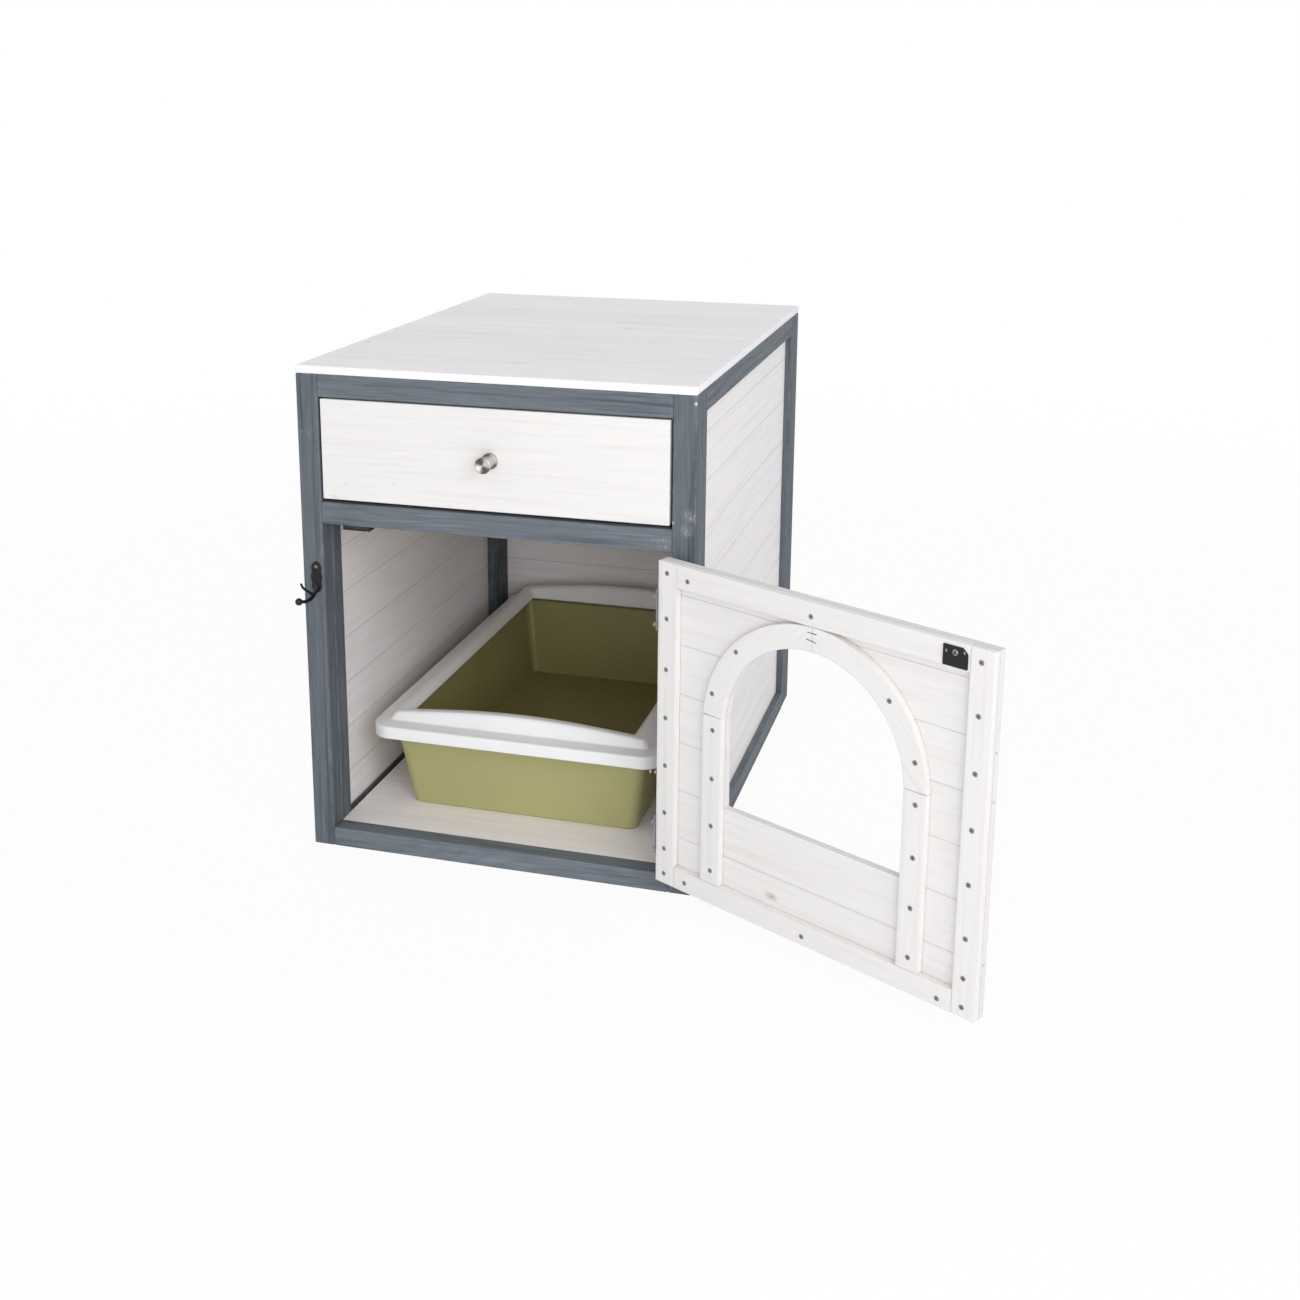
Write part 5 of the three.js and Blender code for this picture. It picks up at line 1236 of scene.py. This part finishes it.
class CABINET_OT_door_hardware(Operator):
    """Makes the door's screws, staples and strike plate, and plates its hinges"""

    bl_idname = "cabinet.door_hardware"
    bl_label = "Door hardware"

    def execute(self, context):
        sizes, colours = context.scene.cabinet_sizes, context.scene.cabinet_colours
        zinc, enamel = finish("zinc", colours), finish("enamel", colours)
        edge = closed_box("door_boards")[1][X]
        face = closed_box("door_free_stile")[1][Y]

        def on_face(u_mm, z_mm):
            return edge - u_mm * MM, face, z_mm * MM

        chance = np.random.default_rng(7)
        head = (sizes.screw_radius, sizes.screw_proud)
        heads = [
            screw_head(on_face(*place), REARWARDS, *head, chance.uniform(0, math.pi))
            for places in DOOR_SCREWS.values()
            for place in places
        ]
        piece("door_screws", heads, zinc, "door", place=swung_open, crease=HEAD_CREASE)
        wires = []
        for start, stop in STAPLES:
            path = np.linspace(on_face(*start), on_face(*stop), WIRE_POINTS)
            wires.append(rod(path, np.full(WIRE_POINTS, sizes.staple_radius), REARWARDS, 10))
        piece("door_staples", wires, enamel, "door", place=swung_open)
        self.strike_plate(edge, enamel, zinc)
        for word in ("lower", "upper"):
            for part in ("frame_leaf", "door_leaf", "pin"):
                dress(f"{word}_hinge_{part}", zinc)
        for side, points_of, facing, body, place in (
            ("frame", node_points, -1, "cabinet", None),
            ("door", closed_points, 1, "door", swung_open),
        ):
            leaves = [points_of(f"{word}_hinge_{side}_leaf") for word in ("lower", "upper")]
            heads = [head for points in leaves for head in self.leaf_screws(points, facing)]
            piece(f"hinge_{side}_screws", heads, zinc, body, place=place, crease=HEAD_CREASE)
        return {"FINISHED"}

    def strike_plate(self, edge, enamel, zinc):
        """The enamelled plate, one corner cut off, with its two slots and its screw."""
        low, high = closed_box("strike_plate")
        corners = [(low[Z], low[X]), (low[Z], high[X]), (high[Z], high[X])]
        corners += [(high[Z], low[X] + STRIKE_CORNER), (high[Z] - STRIKE_CORNER, low[X])]
        outline = rounded_path(corners, STRIKE_ROUND, closed=True)
        holes = [self.slot(edge - u * MM, z * MM) for u, z in STRIKE_SLOTS]
        plate = pierced_plate(outline, holes, low[Y], high[Y], Y)
        name = "strike_plate_enamelled"
        piece(name, [plate], enamel, "door", place=swung_open, stands_for=["strike_plate"])
        screw_low, screw_high = closed_box("strike_plate_screw")
        middle = (screw_low + screw_high) / 2
        head = screw_head((middle[X], high[Y], middle[Z]), REARWARDS, *STRIKE_HEAD)
        node = "strike_plate_screw"
        piece(f"{node}_head", [head], zinc, "door", swung_open, [node], HEAD_CREASE)

    @staticmethod
    def leaf_screws(points, facing):
        """Flat heads on the face that a leaf turns to the other leaf: along X for 1, against it for -1."""
        leaf = points[points[:, Y] > DOOR_PIN[Y] + BARREL_CLEAR]
        low, high = leaf.min(0), leaf.max(0)
        face = high[X] if facing > 0 else low[X]
        middle = (low + high) / 2
        heads = []
        for y, z in LEAF_SCREWS:
            place = (face, middle[Y] + y * MM, middle[Z] + z * MM)
            heads.append(screw_head(place, (facing, 0, 0), *LEAF_HEAD, 0.6 + z))
        return heads

    @staticmethod
    def slot(across, height):
        """A slot with round ends, upright."""
        radius, straight = 1.1 * MM, 1.6 * MM
        turn = np.linspace(0, 2 * math.pi, 20, endpoint=False)
        lift = np.where(np.cos(turn) > 0, straight, -straight) / 2
        return np.stack([height + radius * np.cos(turn) + lift, across + radius * np.sin(turn)], 1)


class CABINET_OT_catch(Operator):
    """Finishes the magnetic catch under the middle rail"""

    bl_idname = "cabinet.catch"
    bl_label = "Magnetic catch"

    def execute(self, context):
        colours = context.scene.cabinet_colours
        dress("catch_body", finish("abs", colours))
        dress("catch_magnet", finish("magnet", colours))
        return {"FINISHED"}


# ---------------------------------------------------------------- scoop hook

HOOK_PLATE_HEIGHT = 40 * MM
BALL_HEIGHT = 3.5 * MM
# Each as a share of the hook's reach and millimetres above the foot of its plate
PRONG_KNOTS = [(0.14, 1.5), (0.36, -2.6), (0.66, -1.6), (0.97, 3.1)]
TINE_KNOTS = [(0.2, -0.5), (0.4, 5.3), (0.62, 12.4), (0.78, 18.7), (0.84, 23.2)]
SCROLL_STEPS = 44


class CABINET_OT_scoop_hook(Operator):
    """Makes the cast double hook on the left post"""

    bl_idname = "cabinet.scoop_hook"
    bl_label = "Scoop hook"

    def execute(self, context):
        sizes, colours = context.scene.cabinet_sizes, context.scene.cabinet_colours
        low, high = node_box("scoop_hook")
        middle, wall = (low[X] + high[X]) / 2, high[Y]
        plate_front = wall - sizes.hook_plate
        foot = high[Z] - HOOK_PLATE_HEIGHT
        reach = wall - low[Y] - sizes.ball_radius

        def arm(knots, steps, radius, taper, sides):
            """A rod through points given as shares of the reach and millimetres above the plate's foot."""
            flat = np.array(knots) * [reach, MM]
            path = np.stack([np.full(len(flat), middle), wall - flat[:, 0], foot + flat[:, 1]], 1)
            return rod(smooth_curve(path, steps), radius * np.linspace(*taper, steps), (1, 0, 0), sides)

        root = (sizes.hook_plate * 0.4 / reach, 9)
        prong = arm([root, *PRONG_KNOTS], 40, sizes.prong_radius, (1.15, 0.8), 20)
        tine = arm(TINE_KNOTS, 30, sizes.tine_radius, (1.25, 0.9), 16)
        ball_place = (middle, wall - reach, foot + BALL_HEIGHT)
        ball = revolved(half_circle(sizes.ball_radius, 16), ball_place, (0, 0, 1), 28)
        tip_away, tip_height = TINE_KNOTS[-1]
        tip_place = (middle, wall - reach * tip_away, foot + tip_height * MM)
        tip = revolved(half_circle(sizes.ball_radius * 0.33, 16), tip_place, (0, 0, 1), 16)
        shells = [self.plate(middle, wall, foot, high[Z], sizes), prong, tine, ball, tip]
        shells += self.relief(middle, plate_front, foot, high[Z], sizes.hook_width / 2)
        enamel, zinc = finish("enamel", colours), finish("zinc", colours)
        piece("scoop_hook_enamelled", shells, enamel, "cabinet", stands_for=["scoop_hook"])
        screw_low, screw_high = node_box("hook_screw")
        screw_place = (middle, plate_front, (screw_low[Z] + screw_high[Z]) / 2)
        head = screw_head(screw_place, (0, -1, 0), *HOOK_HEAD)
        piece("hook_screw_head", [head], zinc, "cabinet", None, ["hook_screw"], HEAD_CREASE)
        return {"FINISHED"}

    @staticmethod
    def plate(middle, wall, foot, top, sizes):
        """The plate's outline: a long oval whose width swells, half width = half * (0.9 + ripple)."""
        half = sizes.hook_width / 2
        centre, rise = (foot + top) / 2, (top - foot) / 2
        turn = np.linspace(0, 2 * math.pi, 72, endpoint=False)
        height = np.sign(np.sin(turn)) * np.abs(np.sin(turn)) ** 0.75
        ripple = 0.09 * np.cos(3 * math.pi * height)
        across = np.sign(np.cos(turn)) * np.abs(np.cos(turn)) ** 0.7 * (0.9 + ripple)
        outline = np.stack([centre + rise * height, middle + half * across], 1)
        return slab("hook_plate", outline, wall - sizes.hook_plate, wall, Y, 0.6 * MM, band=0.5 * MM)

    @staticmethod
    def relief(middle, front, foot, top, half):
        """Two scrolls and a row of beads: a scroll is a spiral rod, radius = outer * (1 - share * 0.8)."""
        shells = []
        centre, rise = (foot + top) / 2, (top - foot) / 2
        for side, level in ((1, 0.3), (-1, -0.28)):
            share = np.linspace(0, 1, SCROLL_STEPS)
            turn = side * share * 3.2 * math.pi + math.pi / 2
            spread = half * 0.62 * (1 - 0.8 * share)
            across = middle + spread * np.cos(turn)
            height = centre + level * rise + spread * 1.25 * np.sin(turn)
            path = np.stack([across, np.full(SCROLL_STEPS, front), height], 1)
            shells.append(rod(path, np.linspace(0.95, 0.5, SCROLL_STEPS) * MM, REARWARDS, 10))
        bead = half_circle(0.95 * MM, 8)
        for level in (-0.78, -0.62, 0.02):
            shells.append(revolved(bead, (middle, front, centre + level * rise), (0, 0, 1), 14))
        return shells


# ---------------------------------------------------------------- litter tray

TRAY_CORNER_STEPS, TRAY_END_STEPS = 12, 20


def tray_outline(half_x, half_y, radius):
    """A rounded rectangle, anticlockwise, with extra points along its two short ends."""
    parts = []
    turn = np.linspace(0, math.pi / 2, TRAY_CORNER_STEPS + 1)
    for quarter, (side_x, side_y) in enumerate([(1, 1), (-1, 1), (-1, -1), (1, -1)]):
        angle = turn + quarter * math.pi / 2
        x = side_x * (half_x - radius) + radius * np.cos(angle)
        y = side_y * (half_y - radius) + radius * np.sin(angle)
        parts.append(np.stack([x, y], 1))
        if quarter % 2 == 0:
            share = np.linspace(1, -1, TRAY_END_STEPS + 1)[1:-1]
            end_x = side_x * (half_x - radius) * share
            parts.append(np.stack([end_x, np.full(len(share), side_y * half_y)], 1))
    return np.concatenate(parts)


TrayForm = namedtuple("TrayForm", "centre base half_x half_y corner front_bow rear_bow rear_rise")

# Inset from the rim's outer edge, height, share of the bow and the rise, least corner radius, rounding,
# and 1 for the inside, which the pan's material draws darker as painted shade. The lengths are in
# millimetres.
PAN_SECTION = [
    (47, 0, 0, 7.6, 0, 0),
    (41.6, 0, 0, 13, 3, 0),
    (24, 115, 0, 14, 1, 0),
    (4.5, 115, 0, 22.5, 0.8, 0),
    (4.5, 117.5, 0, 22.5, 0.8, 0),
    (26.5, 117.5, 0, 11.5, 1, 1),
    (44.1, 2.5, 0, 9, 1.2, 1),
    (49, 2.5, 0, 4.1, 0, 1),
]
RIM_SECTION = [
    (0, -13.6, 0, 6, 0.9, 0),
    (0, 2.6, 0, 6, 2.6, 0),
    (15.4, 4.8, 0, 6, 1.6, 0),
    (19.8, 4.8, 0, 6, 1.7, 0),
    (26.8, 15, 1, 6, 3.2, 0),
    (39.8, 15, 1, 6, 3.0, 0),
    (46, 10, 0, 6, 0.9, 0),
    (43, 8.5, 0, 6, 0.9, 0),
    (36.8, 9.3, 0.9, 6, 2, 0),
    (31, 9, 0.9, 6, 2, 0),
    (21.5, 0.8, 0, 6, 1, 0),
    (18.5, 0, 0, 6, 0.6, 0),
    (3, 0, 0, 6, 0.8, 0),
    (3, -13.6, 0, 6, 0.9, 0),
]
# The rim rests this far above the pan's edge. Two nibs hang under its front, each a small block.
RIM_SEAT = 0.3 * MM
RIM_NIBS = (183 * MM, 189 * MM)
NIB_LOW = np.array([-0.8, 0.3, -2.8]) * MM
NIB_HIGH = np.array([0.8, 2.6, 0.6]) * MM


def tray_shell(rows, form, closed):
    """A ring of the tray for each point of its rounded section.

    Height = base + section height + share * (bow * cos(pi x / width) at the two ends + rise * way back).
    """
    rows = np.array(rows, float)
    section = rounded_path(rows[:, [0, 1, 2, 3, 5]] * [MM, MM, 1, MM, 1], rows[:, 4] * MM, closed=closed)
    rings = []
    for inset, height, share, least, _ in section:
        half_x, half_y = form.half_x - inset, form.half_y - inset
        radius = max(form.corner - inset, least)
        flat = tray_outline(half_x, half_y, radius)
        bow = np.where(flat[:, 1] > 0, form.rear_bow, form.front_bow)
        bowed = np.cos(math.pi * flat[:, 0] / (2 * half_x)) * (np.abs(flat[:, 1]) > half_y - radius)
        way_back = (flat[:, 1] + half_y) / (2 * half_y)
        rise = share * (bow * bowed + form.rear_rise * way_back)
        rings.append(np.column_stack([flat + form.centre, form.base + height + rise]))
    points = np.concatenate(rings)
    count = len(rings[0])
    caps = [] if closed else end_caps(len(rings), count)
    # The inside share marks the pan's inside, which its material draws darker as painted shade.
    inside = np.repeat(section[:, 4], count)
    return Shell(points, band_quads(len(rings), count, closed), NO_TRIS, caps, points, inside)


class CABINET_OT_litter_tray(Operator):
    """Moulds the olive pan and its white rim"""

    bl_idname = "cabinet.litter_tray"
    bl_label = "Litter tray"

    def execute(self, context):
        sizes, colours = context.scene.cabinet_sizes, context.scene.cabinet_colours
        rim_low, rim_high = node_box("pan_rim")
        pan_low, pan_high = node_box("litter_pan")
        centre, (half_x, half_y) = ((rim_low + rim_high) / 2)[:2], ((rim_high - rim_low) / 2)[:2]
        bows = (sizes.front_bow, sizes.rear_bow, sizes.rear_rise)
        form = TrayForm(centre, pan_low[Z], half_x, half_y, sizes.rim_corner, *bows)
        pan = tray_shell(PAN_SECTION, form, closed=False)
        olive, white = finish("olive", colours), finish("white", colours)
        piece("litter_pan_moulded", [pan], olive, "tray", stands_for=["litter_pan"])
        rim = tray_shell(RIM_SECTION, form._replace(base=pan_high[Z] + RIM_SEAT), closed=True)
        nibs = []
        for x in RIM_NIBS:
            nib_low = np.array([x, rim_low[Y], rim_low[Z]]) + NIB_LOW
            nib_high = np.array([x, rim_low[Y], rim_low[Z]]) + NIB_HIGH
            nibs.append(eased_block(f"rim_nib_{x / MM:.0f}", nib_low, nib_high, Z, sizes.small_ease))
        shells, node = [rim, *nibs], "pan_rim"
        piece(f"{node}_moulded", shells, white, "tray_rim", stands_for=[node], crease=50)
        return {"FINISHED"}


# ---------------------------------------------------------------- stage

# How white the floor looks near the cabinet and far from it, and the two distances in metres
FLOOR_WHITENESS = (0.93, 1.0)
FLOOR_FADE = (0.9, 3.5)
FLOOR_REACH = 12.0
LAMP_TARGET = (0, 0, 0.3)
# Name, place, side of the square in metres and the setting that holds its power
LAMPS = [
    ("key_lamp", (1.9, -2.4, 1.5), 1.9, "key_power"),
    ("front_lamp", (0.9, -3.0, 0.75), 1.4, "front_power"),
    ("fill_lamp", (-2.3, -0.6, 1.6), 1.8, "fill_power"),
]
SENSOR_MM = 36


def seen_share(tree):
    """1 for a ray that the camera sends, also by way of a mirror or a pane, and 0 for any other."""
    path = tree.nodes.new("ShaderNodeLightPath").outputs
    share = path["Is Camera Ray"]
    for ray in ("Is Glossy Ray", "Is Transmission Ray"):
        share = add(tree, "Math", {0: share, 1: path[ray]}, operation="ADD", use_clamp=True)
    return share


class CABINET_OT_stage(Operator):
    """Lays the pale floor and sets the lamps, the room's light and the camera"""

    bl_idname = "cabinet.stage"
    bl_label = "Stage"

    def execute(self, context):
        scene, settings = context.scene, context.scene.cabinet_stage
        self.floor(scene.cabinet_colours)
        self.room(scene, settings)
        for name, place, size, power in LAMPS:
            self.lamp(name, place, size, getattr(settings, power))
        self.camera(scene, settings)
        scene.view_settings.view_transform = "Standard"
        return {"FINISHED"}

    @staticmethod
    def floor(colours):
        """A wide flat floor that looks white but still takes the cabinet's shadow."""
        mesh = bpy.data.meshes.new("studio_floor")
        corners = [(FLOOR_REACH * x, FLOOR_REACH * y, 0) for x, y in ((-1, -1), (1, -1), (1, 1), (-1, 1))]
        mesh.from_pydata(corners, [], [(0, 1, 2, 3)])
        material, tree = new_material("paper_floor")
        seen = seen_share(tree)
        lit = add(tree, "BsdfDiffuse", {"Color": tuple(colours.floor)})
        white = add(tree, "Emission", {"Color": (1.0, 1.0, 1.0), "Strength": 1.0})
        place = add(tree, "TexCoord", out="Object")
        away = add(tree, "VectorMath", {0: place}, out="Value", operation="LENGTH")
        fade = {"From Min": FLOOR_FADE[0], "From Max": FLOOR_FADE[1]}
        fade |= {"To Min": FLOOR_WHITENESS[0], "To Max": FLOOR_WHITENESS[1]}
        white_share = add(tree, "MapRange", {"Value": away, **fade}, interpolation_type="SMOOTHSTEP")
        share = add(tree, "Math", {0: seen, 1: white_share}, operation="MULTIPLY")
        paper = add(tree, "MixShader", {0: share, 1: lit, 2: white})
        add(tree, "OutputMaterial", {"Surface": paper})
        mesh.materials.append(material)
        made = bpy.data.objects.new("studio_floor", mesh)
        bpy.context.scene.collection.objects.link(made)

    @staticmethod
    def room(scene, settings):
        """Soft light from all round, and white where the camera or a reflection sees the room."""
        world = bpy.data.worlds.new("studio_room")
        world.use_nodes = True
        tree = world.node_tree
        tree.nodes.clear()
        seen = seen_share(tree)
        strength = add(tree, "MapRange", {"Value": seen, "To Min": settings.ambient, "To Max": 1.0})
        room = add(tree, "Background", {"Color": (1.0, 1.0, 1.0), "Strength": strength})
        add(tree, "OutputWorld", {"Surface": room})
        scene.world = world

    @staticmethod
    def lamp(name, place, size, power):
        """A square soft box that faces the middle of the cabinet."""
        data = bpy.data.lights.new(name, "AREA")
        data.size, data.energy = size, power
        lamp = bpy.data.objects.new(name, data)
        lamp.location = place
        way = np.array(place) - LAMP_TARGET
        way /= np.linalg.norm(way)
        first, second = cross_axes(way)
        lamp.rotation_euler = Matrix(np.stack([first, second, way], 1).tolist()).to_euler()
        bpy.context.scene.collection.objects.link(lamp)

    @staticmethod
    def camera(scene, settings):
        """The camera's axes come from its azimuth, elevation and roll."""
        data = bpy.data.cameras.new("camera")
        data.sensor_width, data.lens = SENSOR_MM, settings.focal_length
        data.shift_x, data.shift_y = settings.shift
        data.clip_start, data.clip_end = 0.05, 100
        a, e, r = settings.azimuth, settings.elevation, settings.roll
        ahead = np.array([-math.sin(a) * math.cos(e), math.cos(a) * math.cos(e), -math.sin(e)])
        level = np.array([math.cos(a), math.sin(a), 0])
        above = np.cross(level, ahead)
        right = level * math.cos(r) + above * math.sin(r)
        up = above * math.cos(r) - level * math.sin(r)
        camera = bpy.data.objects.new("camera", data)
        camera.rotation_euler = Matrix(np.stack([right, up, -ahead], 1).tolist()).to_euler()
        camera.location = settings.camera_place
        scene.collection.objects.link(camera)
        scene.camera = camera


# ---------------------------------------------------------------- add-on

OPERATORS = (
    CABINET_OT_stained_frame,
    CABINET_OT_wall_boards,
    CABINET_OT_top_panel,
    CABINET_OT_bare_timber,
    CABINET_OT_drawer,
    CABINET_OT_knob,
    CABINET_OT_door,
    CABINET_OT_door_hardware,
    CABINET_OT_catch,
    CABINET_OT_scoop_hook,
    CABINET_OT_litter_tray,
    CABINET_OT_stage,
)


class CABINET_PT_pieces(Panel):
    """Lists the operators that make the cabinet"""

    bl_idname = "CABINET_PT_pieces"
    bl_label = "Litter box cabinet"
    bl_space_type = "VIEW_3D"
    bl_region_type = "UI"
    bl_category = "Cabinet"

    def draw(self, context):
        for operator in OPERATORS:
            self.layout.operator(operator.bl_idname)


CLASSES = (CabinetColours, CabinetSizes, StageSettings, *OPERATORS, CABINET_PT_pieces)


def register():
    for item in CLASSES:
        bpy.utils.register_class(item)
    bpy.types.Scene.cabinet_colours = PointerProperty(type=CabinetColours)
    bpy.types.Scene.cabinet_sizes = PointerProperty(type=CabinetSizes)
    bpy.types.Scene.cabinet_stage = PointerProperty(type=StageSettings)


def unregister():
    for name in ("cabinet_stage", "cabinet_sizes", "cabinet_colours"):
        delattr(bpy.types.Scene, name)
    for item in reversed(CLASSES):
        bpy.utils.unregister_class(item)


def main():
    """Registers the add-on and makes every piece in order."""
    register()
    for operator in OPERATORS:
        group, name = operator.bl_idname.split(".")
        getattr(getattr(bpy.ops, group), name)()


if __name__ == "__main__":
    main()
